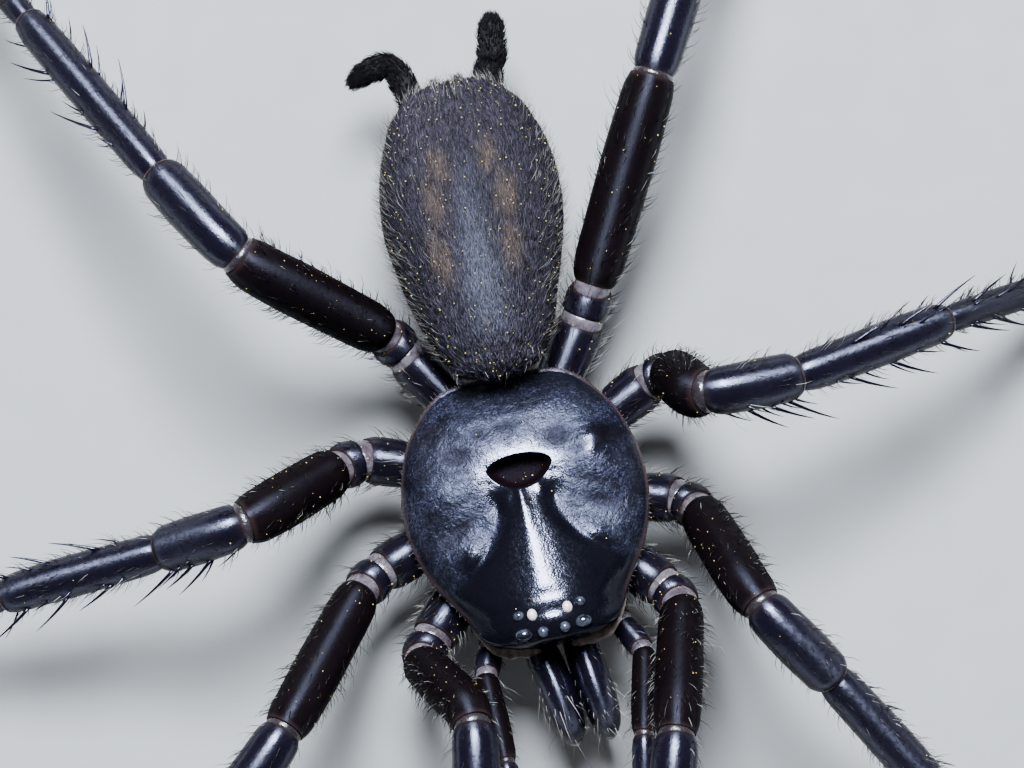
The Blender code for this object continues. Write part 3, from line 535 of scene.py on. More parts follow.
def carried_frame(line):
    """Tangents, sides and tops along a line, without twist."""
    tangents = unit(np.gradient(line, axis=0))
    side = unit(np.cross(tangents[0], UP))
    sides = []
    for tangent in tangents:
        side = side - tangent * (side @ tangent)
        side = side / np.linalg.norm(side)
        sides.append(side)
    return tangents, np.array(sides), np.cross(sides, tangents)


# Meshes


class Shape:
    """Points and faces gathered from several pieces, with one number per point for each named value."""

    def __init__(self, *names):
        self.points = []
        self.quads = [np.zeros((0, 4), int)]
        self.triangles = [np.zeros((0, 3), int)]
        self.values = {name: [] for name in names}
        self.count = 0

    def add(self, points, quads=None, triangles=None, **values):
        points = np.asarray(points, float).reshape(-1, 3)
        self.points.append(points)
        if quads is not None:
            self.quads.append(np.asarray(quads) + self.count)
        if triangles is not None:
            self.triangles.append(np.asarray(triangles) + self.count)
        for name, stored in self.values.items():
            stored.append(np.broadcast_to(values.get(name, 0.0), len(points)))
        self.count += len(points)

    def build(self, name, look, nodes, slot, bake_map=False):
        """Makes the object, which rides on the root body and replaces these nodes."""
        points = (np.concatenate(self.points) + SHIFT) * MM
        quads = np.concatenate(self.quads)
        triangles = np.concatenate(self.triangles)
        corners = np.concatenate([quads.ravel(), triangles.ravel()]).astype(np.int32)
        sizes = np.repeat([4, 3], [len(quads), len(triangles)])
        starts = np.concatenate([[0], np.cumsum(sizes)[:-1]]).astype(np.int32)
        values = {key: np.concatenate(stored) for key, stored in self.values.items()}
        mesh = bpy.data.meshes.new(name)
        mesh.vertices.add(len(points))
        mesh.loops.add(len(corners))
        mesh.polygons.add(len(sizes))
        mesh.vertices.foreach_set("co", points.ravel().astype(np.float32))
        mesh.loops.foreach_set("vertex_index", corners)
        mesh.polygons.foreach_set("loop_start", starts)
        if "u" in values:
            places = np.stack([values.pop("u"), values.pop("v")], axis=1)[corners]
            if not bake_map:
                highest = np.repeat(np.maximum.reduceat(places[:, 1], starts), sizes)
                places[:, 1] += places[:, 1] < highest - 0.5
            layer = mesh.uv_layers.new(name="OFBake" if bake_map else SHINE_MAP)
            layer.data.foreach_set("uv", places.ravel().astype(np.float32))
        for key, stored in values.items():
            layer = mesh.attributes.new(key, "FLOAT", "POINT")
            layer.data.foreach_set("value", stored.astype(np.float32))
        mesh.update(calc_edges=True)
        mesh.validate()
        mesh.shade_smooth()
        mesh.materials.append(look)
        obj = bpy.data.objects.new(name, mesh)
        bpy.context.scene.collection.objects.link(obj)
        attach(obj, "root")
        if nodes:
            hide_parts(*nodes)


class Hair(Shape):
    """Tufts of hair, with a map to bake them on."""

    def __init__(self, *more):
        super().__init__("u", "v", "shade", *more)

    def finish(self, name, look):
        self.build(name, look, (), "hair", bake_map=True)


def closed_tube(rings):
    """(points, quads, triangles) of a tube through rings with both ends closed, facing out."""
    rings = np.asarray(rings, float)
    rows, sides = rings.shape[:2]
    points = np.concatenate([rings.reshape(-1, 3), rings[[0, -1]].mean(axis=1)])
    i = np.arange(rows - 1)[:, None] * sides
    k = np.arange(sides)
    j = (k + 1) % sides
    quads = np.stack([i + k, i + j, i + sides + j, i + sides + k], axis=-1).reshape(-1, 4)
    first = np.stack([j, k, np.full(sides, rows * sides)], axis=1)
    last = np.stack([k, j, np.full(sides, sides + 1)], axis=1) + (rows - 1) * sides
    triangles = np.concatenate([first, last])
    a, b, c, d = (points[quads[:, corner]] for corner in range(4))
    volume = np.einsum("ij,ij->", a, np.cross(b, c)) + np.einsum("ij,ij->", a, np.cross(c, d))
    if volume < 0:
        quads = quads[:, ::-1]
        triangles = triangles[:, ::-1]
    return points, quads, triangles


def rounded_ends(rings, bulge, steps=5):
    """The same rings with a low dome of smaller rings at each end."""
    turns = np.linspace(0, np.pi / 2, steps + 2)[1:-1, None, None]
    domes = []
    for end, inner in ((rings[0], rings[1]), (rings[-1], rings[-2])):
        middle = end.mean(axis=0)
        outward = unit(middle - inner.mean(axis=0))
        domes.append(middle + (end - middle) * np.cos(turns) + outward * bulge * np.sin(turns))
    return np.concatenate([domes[0][::-1], rings, domes[1]])


def flat_rings(middles, widths, side, top, sides):
    """Rings round middles, all of them in the plane of these two directions."""
    turns = circle(sides)
    outward = np.cos(turns)[:, None] * side + np.sin(turns)[:, None] * top
    return middles[:, None] + widths[:, None, None] * outward


def bent_rings(points, rows, sides):
    """Rings round a smooth line through points of (x, y, z, half width, half depth)."""
    line = smooth_curve(points, rows)
    _, side, top = carried_frame(line[:, :3])
    across = line[:, 3:4] * np.cos(circle(sides))
    along = line[:, -1:] * np.sin(circle(sides))
    return line[:, None, :3] + across[..., None] * side[:, None] + along[..., None] * top[:, None]


def tube_map(rows, sides):
    """Share of the length and of the turn at each point of a closed tube."""
    lengthwise = np.concatenate([np.repeat(np.linspace(0, 1, rows), sides), [0.0, 1.0]])
    around = np.concatenate([np.tile(np.arange(sides) / sides, rows), [0.5, 0.5]])
    return {"u": lengthwise, "v": around}


# Limbs


class Path:
    """A middle line through joints, rounded at each, with a frame that doesn't twist."""

    SAMPLE = 0.05
    BEND_STEPS = 32

    def __init__(self, joints):
        joints = np.array([tuple(joint) for joint in joints], float)
        points = [joints[0]]
        marks = [0]
        for before, joint, after in zip(joints, joints[1:], joints[2:]):
            back = before - joint
            ahead = after - joint
            reach = min(BEND, BEND_SHARE * np.linalg.norm(back), BEND_SHARE * np.linalg.norm(ahead))
            start = joint + unit(back) * reach
            end = joint + unit(ahead) * reach
            for t in np.linspace(0, 1, self.BEND_STEPS + 1):
                points.append(start * (1 - t) ** 2 + joint * 2 * t * (1 - t) + end * t**2)
            marks.append(len(points) - 1 - self.BEND_STEPS // 2)
        points = np.array([*points, joints[-1]])
        along = distances_along(points)
        self.marks = [along[mark] for mark in marks] + [along[-1]]
        self.distances = np.linspace(0, along[-1], int(along[-1] / self.SAMPLE) + 1)
        self.points = read_rows(self.distances, along, points)
        self.frame = carried_frame(self.points)

    def at(self, distances):
        """Points, tangents, sides and tops at these distances from the start."""
        distances = np.atleast_1d(distances)
        directions = (unit(read_rows(distances, self.distances, rows)) for rows in self.frame)
        return read_rows(distances, self.distances, self.points), *directions


class Limb:
    """A leg or palp: its middle line, and the span and outline of each of its plates."""

    def __init__(self, path, radii, profiles, gaps, cuts):
        self.path = path
        self.cuts = (0.0, *cuts, 0.0)
        self.spans = []
        distances = []
        widths = []
        for i, (radius, profile) in enumerate(zip(radii, profiles)):
            start = path.marks[i] + (gaps[i - 1] / 2 if i else 0)
            end = path.marks[i + 1] - (gaps[i] / 2 if i < len(gaps) else 0)
            curve = smooth_curve(profile, 8)
            distances.append(start + curve[:, 0] * (end - start))
            widths.append(curve[:, 1] * radius)
            self.spans.append((start, end))
        self.distances = np.concatenate(distances)
        self.widths = np.concatenate(widths)

    def radius(self, distances):
        return np.interp(distances, self.distances, self.widths)

    def outward(self, distances, turns):
        """Points of the middle line, directions out of it at these turns, and tangents."""
        points, tangents, side, top = self.path.at(distances)
        return points, np.cos(turns)[:, None] * side + np.sin(turns)[:, None] * top, tangents

    def rings(self, distances, radii, sides):
        """Rings round the limb, with one distance a ring or one a point."""
        turns = np.broadcast_to(circle(sides), (len(radii), sides))
        each = np.broadcast_to(np.reshape(distances, (len(radii), -1)), turns.shape)
        points, outward, _ = self.outward(each.ravel(), turns.ravel())
        return (points + outward * np.repeat(radii, sides)[:, None]).reshape(-1, sides, 3)

    def surface(self, distances, turns, sink=0.0):
        """Points, outward directions and tangents at these distances and turns round the limb."""
        points, outward, tangents = self.outward(distances, turns)
        return points + outward * (self.radius(distances) - sink)[:, None], outward, tangents


def walk(start, lengths, turns, heights):
    """Joints of a limb: each segment's length, the way it points from above, and the height it ends at."""
    joints = [start]
    for length, turn, height in zip(lengths, turns, heights):
        last = joints[-1]
        reach = math.sqrt(length**2 - (height - last[2]) ** 2)
        angle = math.radians(turn)
        across, along = reach * math.cos(angle), reach * math.sin(angle)
        joints.append(np.array([last[0] + across, last[1] + along, height]))
    return joints


def leg_limb(leg):
    hip = np.array([*leg.hip, HIP_HEIGHT])
    joints = walk(hip, LEG_LENGTHS[leg.pair], leg.turns, (*leg.heights, SOLE_HEIGHT))
    turn = math.radians(leg.turns[-1])
    toe = joints[-1] + np.array([math.cos(turn), math.sin(turn), 0]) * TOE_LENGTH
    path = Path([(*leg.root, ROOT_HEIGHT), (*leg.coxa, COXA_HEIGHT), *joints, toe])
    path.marks[-2:] = [path.marks[-1]]
    return Limb(path, LEG_RADII[leg.pair], LEG_PROFILES, LEG_JOINT_GAPS, LEG_JOINT_CUTS)


def palp_limb(palp):
    hip = np.array([*palp.hip, PALP_HIP_HEIGHT])
    joints = walk(hip, PALP_LENGTHS, palp.turns, palp.heights)
    path = Path([(*palp.root, ROOT_HEIGHT), (*palp.coxa, PALP_COXA_HEIGHT), *joints])
    return Limb(path, PALP_RADII, PALP_PROFILES, PALP_JOINT_GAPS, PALP_JOINT_CUTS)


# Materials


class Look:
    """A material with textures in millimetres. Names of inputs have underscores for spaces."""

    def __init__(self, name):
        self.material = bpy.data.materials.new(name)
        self.material.use_nodes = True
        self.tree = self.material.node_tree
        self.shader = self.tree.nodes["Principled BSDF"]
        place = self.new("TexCoord").outputs["Object"]
        scaled = self.new("Mapping", Vector=place, Scale=(1 / MM, 1 / MM, 1 / MM))
        self.millimetres = scaled.outputs["Vector"]

    def feed(self, socket, value):
        """Links another node's output to this input, or sets a number, vector or opaque colour."""
        if isinstance(value, bpy.types.NodeSocket):
            self.tree.links.new(value, socket)
        elif socket.type == "RGBA":
            socket.default_value = (*value, 1)
        else:
            socket.default_value = value

    def put(self, node, **inputs):
        for name, value in inputs.items():
            self.feed(node.inputs[name.replace("_", " ")], value)

    def new(self, kind, **inputs):
        node = self.tree.nodes.new("ShaderNode" + kind)
        self.put(node, **inputs)
        return node

    def noise(self, scale, detail=4.0, roughness=0.55, distortion=0.0):
        node = self.new("TexNoise", Scale=scale, Detail=detail, Roughness=roughness, Distortion=distortion)
        self.put(node, Vector=self.millimetres)
        return node.outputs["Fac"]

    def cells(self, scale):
        return self.new("TexVoronoi", Scale=scale, Vector=self.millimetres).outputs["Distance"]

    def value(self, name):
        """The number that the mesh keeps under this name."""
        node = self.new("Attribute")
        node.attribute_name = name
        return node.outputs["Fac"]

    def spread(self, source, to_low, to_high, low=0.3, high=0.7):
        """Runs smoothly between two numbers as the source goes from low to high."""
        node = self.new("MapRange")
        node.interpolation_type = "SMOOTHSTEP"
        for index, value in enumerate((source, low, high, to_low, to_high)):
            self.feed(node.inputs[index], value)
        return node.outputs[0]

    def join(self, operation, first, second):
        node = self.new("Math")
        node.operation = operation
        self.feed(node.inputs[0], first)
        self.feed(node.inputs[1], second)
        return node.outputs[0]

    def times(self, first, second):
        return self.join("MULTIPLY", first, second)

    def higher(self, first, second):
        return self.join("MAXIMUM", first, second)

    def blend(self, factor, first, second):
        """Mixes two colours."""
        node = self.new("Mix")
        node.data_type = "RGBA"
        self.put(node, Factor=factor)
        self.feed(node.inputs[6], first)
        self.feed(node.inputs[7], second)
        return node.outputs[2]

    def mix(self, factor, first, second):
        """Mixes two numbers."""
        return self.new("Mix", Factor=factor, A=first, B=second).outputs[0]

    def bump(self, height, depth, below=None):
        """Relief of this depth in millimetres, on top of the relief below."""
        node = self.new("Bump", Distance=depth * MM, Height=height)
        if below is not None:
            self.put(node, Normal=below)
        return node.outputs["Normal"]

    def head_on(self, near=0.24, far=0.52):
        """One where the surface is seen head-on and low at a glance, to keep dark sides dark."""
        return self.spread(self.new("LayerWeight").outputs["Facing"], 1.0, 0.1, near, far)

    def finish(self, colour, roughness, **inputs):
        self.put(self.shader, Base_Color=colour, Roughness=roughness, **inputs)
        return self


def plate_look(name, gloss_range):
    """Glossy black plates, duller and browner where 'dull' is high, brown where 'edge' is."""
    look = Look(name)
    dull = look.value("dull")
    edge = look.value("edge")
    matte = look.higher(dull, edge)
    patches = look.noise(0.9, 5)
    colour = look.blend(dull, look.blend(patches, *PLATE_BLACK), look.blend(patches, *PLATE_BROWN))
    colour = look.blend(edge, colour, PLATE_EDGE)
    fine = look.noise(5.0, 6, 0.65)
    roughness = look.mix(matte, look.spread(fine, *gloss_range), look.spread(fine, 0.4, 0.56))
    normal = look.bump(look.noise(1.3, 3), 0.012)
    normal = look.bump(look.noise(3.6, 3, 0.5), 0.005, normal)
    normal = look.bump(look.noise(10.0, 4, 0.6), 0.009, normal)
    shine = look.times(look.head_on(), look.mix(matte, 0.85, 0.09))
    return look.finish(colour, roughness, Normal=normal, Specular_IOR_Level=shine, Specular_Tint=PLATE_TINT)


def limb_look():
    """The same plates with their shine drawn out along the limb."""
    look = plate_look("shell_limb", (0.25, 0.37))
    lengthwise = look.new("Tangent")
    lengthwise.direction_type = "UV_MAP"
    lengthwise.uv_map = SHINE_MAP
    look.put(look.shader, Tangent=lengthwise.outputs["Tangent"], Anisotropic=0.87, IOR=1.7)
    return look


def carapace_look():
    """Smooth black head, grainy where 'lobe' is high, blue-grey where 'tone' is, a brown border, and painted
    shade where 'pit' is high.
    """
    look = Look("shell_carapace")
    lobe, tone, pit, margin = (look.value(name) for name in ("lobe", "tone", "pit", "margin"))
    broad = look.noise(0.75, 4, 0.6, 0.4)
    grains = look.noise(7.0, 3, 0.6, 0.5)
    speckle = look.spread(look.noise(11.0, 4, 0.7, 0.4), 0.0, 1.0, 0.46, 0.68)
    wrinkled = look.times(tone, look.spread(broad, 0.12, 1.0, 0.4, 0.6))
    colour = look.blend(wrinkled, look.blend(broad, *HEAD_BLACK), look.blend(speckle, *LOBE_GREY))
    # 'pit' paints shade: dark brown down the pit's wall and in the hollows and furrows.
    colour = look.blend(pit, look.blend(margin, colour, MARGIN_BROWN), PAINTED_RECESS_SHADE)
    roughness = look.mix(tone, look.spread(grains, 0.12, 0.24), look.spread(grains, 0.26, 0.46))
    roughness = look.mix(pit, roughness, 0.6)
    folds = look.spread(look.noise(2.2, 4, 0.6, 1.2), 0.0, 1.0)
    normal = look.bump(look.noise(1.0, 3), 0.03)
    for height, depth in ((folds, 0.021), (grains, 0.014), (look.noise(16.0, 3, 0.6), 0.013)):
        normal = look.bump(look.times(lobe, height), depth, normal)
    normal = look.bump(look.cells(12.0), 0.005, normal)
    inside = look.spread(pit, 0.0, 1.0, 0.7, 1.0)
    normal = look.bump(look.times(inside, look.noise(6.0, 4, 0.7)), 0.08, normal)
    seen = look.head_on(0.14, 0.4)
    shine = look.times(seen, look.mix(pit, look.mix(tone, 0.85, 0.64), 0.1))
    coat = look.times(seen, look.spread(look.higher(tone, pit), 0.35, 0.0, 0.0, 0.3))
    look.put(look.shader, Specular_IOR_Level=shine, Specular_Tint=BACK_TINT)
    look.put(look.shader, Coat_Weight=coat, Coat_Roughness=0.16, Coat_Normal=normal)
    return look.finish(colour, roughness, Normal=normal)


def membrane_look():
    """Greyish, faintly translucent skin between the plates, darker where 'pale' is low."""
    look = Look("membrane_pale")
    light = look.blend(look.spread(look.noise(1.8, 5), 0.0, 1.0, 0.35, 0.65), *SKIN_PALE)
    colour = look.blend(look.value("pale"), SKIN_DARK, light)
    folds = look.bump(look.noise(4.0, 3, 0.5, 0.8), 0.03)
    look.put(look.shader, Subsurface_Weight=0.12, Subsurface_Scale=0.0003, Specular_IOR_Level=0.8)
    return look.finish(colour, look.spread(look.noise(6.0), 0.16, 0.34), Normal=folds)


def rim_look():
    """Dry brownish-grey skin of the strips under the front margin."""
    look = Look("rim_brown")
    colour = look.blend(look.spread(look.noise(2.6, 5, 0.6), 0.0, 1.0), *RIM_BROWN)
    roughness = look.spread(look.noise(6.0), 0.35, 0.55)
    return look.finish(colour, roughness, Normal=look.bump(look.noise(9.0, 4), 0.03))


def velvet_look(name, colours, sheen):
    """Soft skin of the abdomen and spinnerets, under the coat, with its markings and with sheen painted
    blue-grey where 'grey' is high.
    """
    look = Look(name)
    colour = look.blend(look.noise(1.2, 5), *colours)
    colour = look.blend(look.value("brown"), colour, VELVET_BROWN)
    # Painted sheen: the skin turns blue-grey where 'grey' is high.
    colour = look.blend(look.value("grey"), colour, VELVET_PAINTED_SHEEN)
    normal = look.bump(look.noise(12.0, 5, 0.7), 0.05, look.bump(look.noise(1.5, 4), 0.12))
    look.put(look.shader, Sheen_Weight=sheen, Sheen_Roughness=0.4, Specular_IOR_Level=0.3)
    return look.finish(colour, look.spread(look.noise(5.0), 0.55, 0.85), Normal=normal)


def coat_look(name, colours, roughness_range, gloss=0.5, marked=False):
    """Hair: 'shade' runs from 0 to 1 from one tuft to the next."""
    look = Look(name)
    shade = look.value("shade")
    colour = look.blend(shade, *colours)
    if marked:
        colour = look.blend(look.value("brown"), colour, look.blend(shade, *COAT_BROWN))
        # Painted sheen: the coat turns blue-grey where 'grey' is high.
        colour = look.blend(look.value("grey"), colour, look.blend(shade, *COAT_PAINTED_SHEEN))
    roughness = look.spread(look.noise(4.0), *roughness_range)
    return look.finish(colour, roughness, Specular_IOR_Level=gloss)


def eye_look(name, colours):
    look = Look(name)
    colour = look.blend(look.spread(look.noise(3.5, 3), 0.0, 1.0, 0.35, 0.65), *colours)
    seen = look.head_on()
    shine = look.times(seen, look.mix(seen, 0.2, 0.7))
    look.put(look.shader, Specular_IOR_Level=shine, Coat_Weight=seen, Coat_Roughness=0.03)
    return look.finish(colour, look.spread(look.noise(9.0), 0.04, 0.1))


def fang_look():
    look = Look("fang_dark")
    colour = look.blend(look.noise(1.0, 4), *FANG_RED)
    look.put(look.shader, Coat_Weight=0.5, Coat_Roughness=0.08)
    roughness = look.spread(look.noise(6.0), 0.12, 0.25)
    return look.finish(colour, roughness, Normal=look.bump(look.noise(3.0, 4), 0.02))


def speck_look():
    look = Look("speck_gold")
    colour = look.blend(look.value("shade"), *SPECK_GOLD)
    return look.finish(colour, look.spread(look.noise(20.0), 0.35, 0.6))


def floor_look():
    look = Look("floor_pale")
    return look.finish(look.blend(look.noise(0.02, 3), *FLOOR_PALE), look.spread(look.noise(0.5), 0.7, 0.8))


def make_looks():
    looks = {
        "plate": plate_look("shell_black", (0.13, 0.27)),
        "limb": limb_look(),
        "carapace": carapace_look(),
        "membrane": membrane_look(),
        "rim": rim_look(),
        "velvet": velvet_look("velvet_skin", VELVET, 0.2),
        "velvet_black": velvet_look("velvet_black", VELVET_BLACK, 0.02),
        "coat": coat_look("coat_velvet", COAT, (0.45, 0.65), 0.22, marked=True),
        "coat_black": coat_look("coat_black", COAT_BLACK, (0.5, 0.7), 0.08),
        "hair_dark": coat_look("hair_dark", HAIR_DARK, (0.3, 0.5)),
        "hair_pale": coat_look("hair_pale", HAIR_PALE, (0.3, 0.5)),
        "eye_pale": eye_look("eye_pale", EYE_PALE),
        "eye_grey": eye_look("eye_grey", EYE_GREY),
        "fang": fang_look(),
        "speck": speck_look(),
        "floor": floor_look(),
    }
    return {key: look.material for key, look in looks.items()}


# Hair


def add_tufts(shape, chance, roots, normals, lies, lengths, radii, lifts, places, **values):
    """Adds a curved, tapered three-sided strand at each root.

    A strand stands off the surface by its lift and bends back towards its lie.
    """
    count = len(roots)
    normals = unit(normals)
    across = unit(np.cross(lies, normals))
    lies = np.cross(normals, across)
    swing = chance.normal(0, 0.22, count)[:, None]
    lifts = lifts[:, None]
    ahead = unit(lies * np.cos(swing) + across * np.sin(swing))
    start = ahead * np.cos(lifts) + normals * np.sin(lifts)
    bent = lifts * chance.uniform(0.35, 0.8, count)[:, None]
    end = ahead * np.cos(bent) + normals * np.sin(bent)
    middles = roots + start * lengths[:, None] * 0.5
    tips = middles + end * lengths[:, None] * 0.5
    keep = (tips[:, 2] > LOWEST_HAIR) & (tips[:, 2] < HIGHEST_HAIR) & (middles[:, 2] > LOWEST_HAIR)
    roots, middles, tips, start, across = (rows[keep] for rows in (roots, middles, tips, start, across))
    widths = radii[keep, None]
    rise = np.cross(across, start)
    points = np.empty((len(roots), 7, 3))
    for k in range(3):
        turn = math.pi / 2 + k * 2 * math.pi / 3
        around = across * math.cos(turn) + rise * math.sin(turn)
        points[:, k] = roots + around * widths
        points[:, 3 + k] = middles + around * widths * 0.75
    points[:, 6] = tips
    base = np.arange(len(roots))[:, None, None] * 7
    quads = (base + np.array([[0, 1, 4, 3], [1, 2, 5, 4], [2, 0, 3, 5]])).reshape(-1, 4)
    triangles = (base + np.array([[3, 4, 6], [4, 5, 6], [5, 3, 6], [2, 1, 0]])).reshape(-1, 3)
    spread_u = np.array([-1, 0, 1, -1, 0, 1, 0]) * BAKE_PATCH / 2
    spread_v = np.array([-1, -1, -1, 0, 0, 0, 1]) * BAKE_PATCH / 2
    each = {key: np.repeat(value[keep], 7) for key, value in values.items()}
    each["u"] = (places[keep, :1] * 0.98 + 0.01 + spread_u).ravel()
    each["v"] = (places[keep, 1:] * 0.98 + 0.01 + spread_v).ravel()
    shape.add(points, quads, triangles, **each)


def limb_hairs(shape, limb, chance, count, length_range, radius, dorsal_share, weights, row):
    """Hairs all over a limb, fewer on top, more in the segments with more weight.

    The row is the limb's band of the bake map.
    """
    starts, ends = np.array(limb.spans).T
    lengths = ends - starts
    odds = lengths * weights
    which = chance.choice(len(starts), size=count, p=odds / odds.sum())
    distances = starts[which] + lengths[which] * chance.uniform(0.03, 0.97, count)
    turns = chance.uniform(0, 2 * np.pi, count)
    keep = chance.uniform(0, 1, count) < np.where(np.sin(turns) > TOP_SHARE, dorsal_share, 1.0)
    keep &= distances > limb.path.marks[1] * 0.55
    distances, turns = distances[keep], turns[keep]
    on_top = np.sin(turns) > TOP_SHARE
    roots, normals, tangents = limb.surface(distances, turns, sink=0.02)
    number = len(distances)
    shortening = np.interp(distances, [0, limb.distances[-1]], [1.1, 0.6])
    sizes = chance.uniform(*length_range, number) * shortening
    lifts = np.radians(chance.uniform(24, 62, number) * np.where(on_top, 0.6, 1.0))
    places = np.stack([turns / (2 * np.pi), (row + distances / limb.distances[-1]) / 10], axis=1)
    radii = radius * chance.uniform(0.75, 1.25, number)
    shade = chance.uniform(0, 1, number)
    add_tufts(shape, chance, roots, normals, tangents, sizes, radii, lifts, places, shade=shade)


def tube_spots(chance, rings, i, k):
    """Points on these patches of a tube of rings.

    They are roots, directions out of the tube and along it, and shares of the length and of the turn.
    """
    rows, sides = rings.shape[:2]
    a, b = chance.uniform(0, 1, (2, len(i)))
    after = np.roll(rings, -1, axis=1)
    corner, ahead, beside = rings[i, k], rings[i + 1, k], after[i, k]
    roots = (
        corner * ((1 - a) * (1 - b))[:, None]
        + ahead * (a * (1 - b))[:, None]
        + beside * ((1 - a) * b)[:, None]
        + after[i + 1, k] * (a * b)[:, None]
    )
    lies = unit(ahead - corner)
    normals = unit(np.cross(unit(beside - corner), lies))
    centres = rings.mean(axis=1)
    middles = centres[i] + a[:, None] * (centres[i + 1] - centres[i])
    normals *= np.sign(np.einsum("ij,ij->i", normals, roots - middles))[:, None]
    return roots, normals, lies, (i + a) / rows, (k + b) / sides


def tube_hairs(shape, chance, rings, count, length_range, radius, lift_range, band=0):
    """Hairs spread over a tube of rings, lying along it, with places in this band of the bake map."""
    rows, sides = rings.shape[:2]
    i = chance.integers(0, rows - 1, count)
    k = chance.integers(0, sides, count)
    roots, normals, lies, length_share, turn_share = tube_spots(chance, rings, i, k)
    places = np.stack([turn_share, (length_share + band) / 4], axis=1)
    lengths = chance.uniform(*length_range, count)
    lifts = np.radians(chance.uniform(*lift_range, count))
    shade = chance.uniform(0, 1, count)
    radii = radius * chance.uniform(0.7, 1.3, count)
    add_tufts(shape, chance, roots, normals, lies, lengths, radii, lifts, places, shade=shade)


def edge_hairs(shape, chance, roots, lies, length_range, radius):
    """Single hairs at these roots, standing out along their lies."""
    count = len(roots)
    lies = unit(lies + chance.normal(0, 0.25, (count, 3)))
    normals = np.tile(UP + [0.01, 0.02, 0], (count, 1))
    normals = unit(normals - lies * np.einsum("ij,ij->i", normals, lies)[:, None])
    lengths = chance.uniform(*length_range, count)
    lifts = np.radians(chance.uniform(0, 25, count))
    places = np.stack([np.linspace(0.02, 0.98, count), chance.uniform(0.9, 0.95, count)], axis=1)
    shade = chance.uniform(0, 0.8, count)
    radii = radius * chance.uniform(0.8, 1.2, count)
    add_tufts(shape, chance, roots, normals, lies, lengths, radii, lifts, places, shade=shade)


# Legs and palps


def add_spike(shape, root, direction, length, radius, bend):
    """A tapering spine or claw whose tip bends by this vector."""
    direction = unit(direction)
    side = unit(np.cross(direction, UP if abs(direction[2]) < 0.9 else np.array([1.0, 0, 0])))
    middles = root + direction * length * SPIKE_SHARES[:, None] + bend * (SPIKE_SHARES**2)[:, None]
    rings = flat_rings(middles, radius * SPIKE_WIDTHS, side, np.cross(direction, side), 6)
    shape.add(*closed_tube(rings))


def leg_spines(shape, leg, limb, name):
    """Spines in the places of the solids' rows, then a few finer ones between them."""
    mirrored = leg.hip[0] < 0
    fine_chance = np.random.default_rng(len(name) * 97 + leg.pair * 7 + mirrored)
    for kind, chance in ((MAIN_SPINES, random.Random(name)), (FINE_SPINES, fine_chance)):
        radius = SPINE_RADIUS * kind.radius
        for segment, turn, shares in SPINE_ROWS[leg.pair]:
            index = SEGMENT_NAMES.index(segment)
            start, end = limb.path.marks[index], limb.path.marks[index + 1]
            if kind is FINE_SPINES:
                shares = np.linspace(0.2, 0.92, len(shares) + 2)
            for share in shares:
                distance = start + (share + chance.uniform(-kind.shift, kind.shift)) * (end - start)
                angle = math.radians(turn + chance.uniform(-kind.turn, kind.turn))
                lean = math.radians(SPINE_LEAN + chance.uniform(*kind.lean))
                length = SPINE_LENGTH * chance.uniform(*kind.length)
                place_spine(shape, limb, distance, angle, mirrored, lean, length, radius)


def place_spine(shape, limb, distance, angle, mirrored, lean, length, radius):
    points, tangents, sides, tops = limb.path.at(distance)
    outward = sides[0] * math.cos(angle) * (-1 if mirrored else 1) + tops[0] * math.sin(angle)
    point = points[0] + outward * (limb.radius(distance) - SPINE_SINK)
    direction = tangents[0] * math.cos(lean) + outward * math.sin(lean)
    bend = tangents[0] * 0.3 * length / SPINE_LENGTH - outward * 0.12
    if (point + direction * length + bend)[2] > LOWEST_TIP:
        add_spike(shape, point, direction, length, radius, bend)


def toe_claws(shape, limb):
    points, tangents, sides, _ = limb.path.at(limb.path.marks[-1] - 0.15)
    for way in (-1, 1):
        direction = tangents[0] + sides[0] * 0.3 * way + UP * 0.12
        root = points[0] + sides[0] * 0.13 * way
        add_spike(shape, root, direction, CLAW_LENGTH, CLAW_RADIUS, UP * -0.16)


def limb_plates(shape, limb, sides):
    """The hard plates of a limb, rounded in at both ends, which slant back on the upper side."""
    above = (0.5 + 0.5 * np.sin(circle(sides))) ** 1.5
    for index, (start, end) in enumerate(limb.spans):
        length = end - start
        rows = max(10, int(length * ROWS_PER_MM))
        shares = 0.5 - 0.5 * np.cos(np.linspace(0, np.pi, rows))
        radii = limb.radius(start + shares * length)
        depths = LIP_DEPTHS * min(LIP, length / 20)
        insets = np.concatenate([depths, np.zeros(rows), -depths[::-1]])
        radii = np.concatenate([radii[0] * LIP_WIDTHS, radii, radii[-1] * LIP_WIDTHS[::-1]])
        shares = np.concatenate([[0, 0], shares, [1, 1]])
        near_cut = 0.5 * limb.cuts[index] * (1 - shares) ** 3
        far_cut = 0.5 * limb.cuts[index + 1] * shares**3
        slant = above * (near_cut - far_cut)[:, None]
        rings = limb.rings((start + shares * length + insets)[:, None] + slant, radii, sides)
        rings[..., 2] = np.maximum(rings[..., 2], 0.0)
        from_end = np.minimum(shares, 1 - shares) * length
        edge = np.concatenate([np.repeat(smoothstep(EDGE_BAND, 0.02, from_end), sides), [1.0, 1.0]])
        shape.add(*closed_tube(rings), dull=PLATE_DULLNESS[index], edge=edge, **tube_map(len(rings), sides))


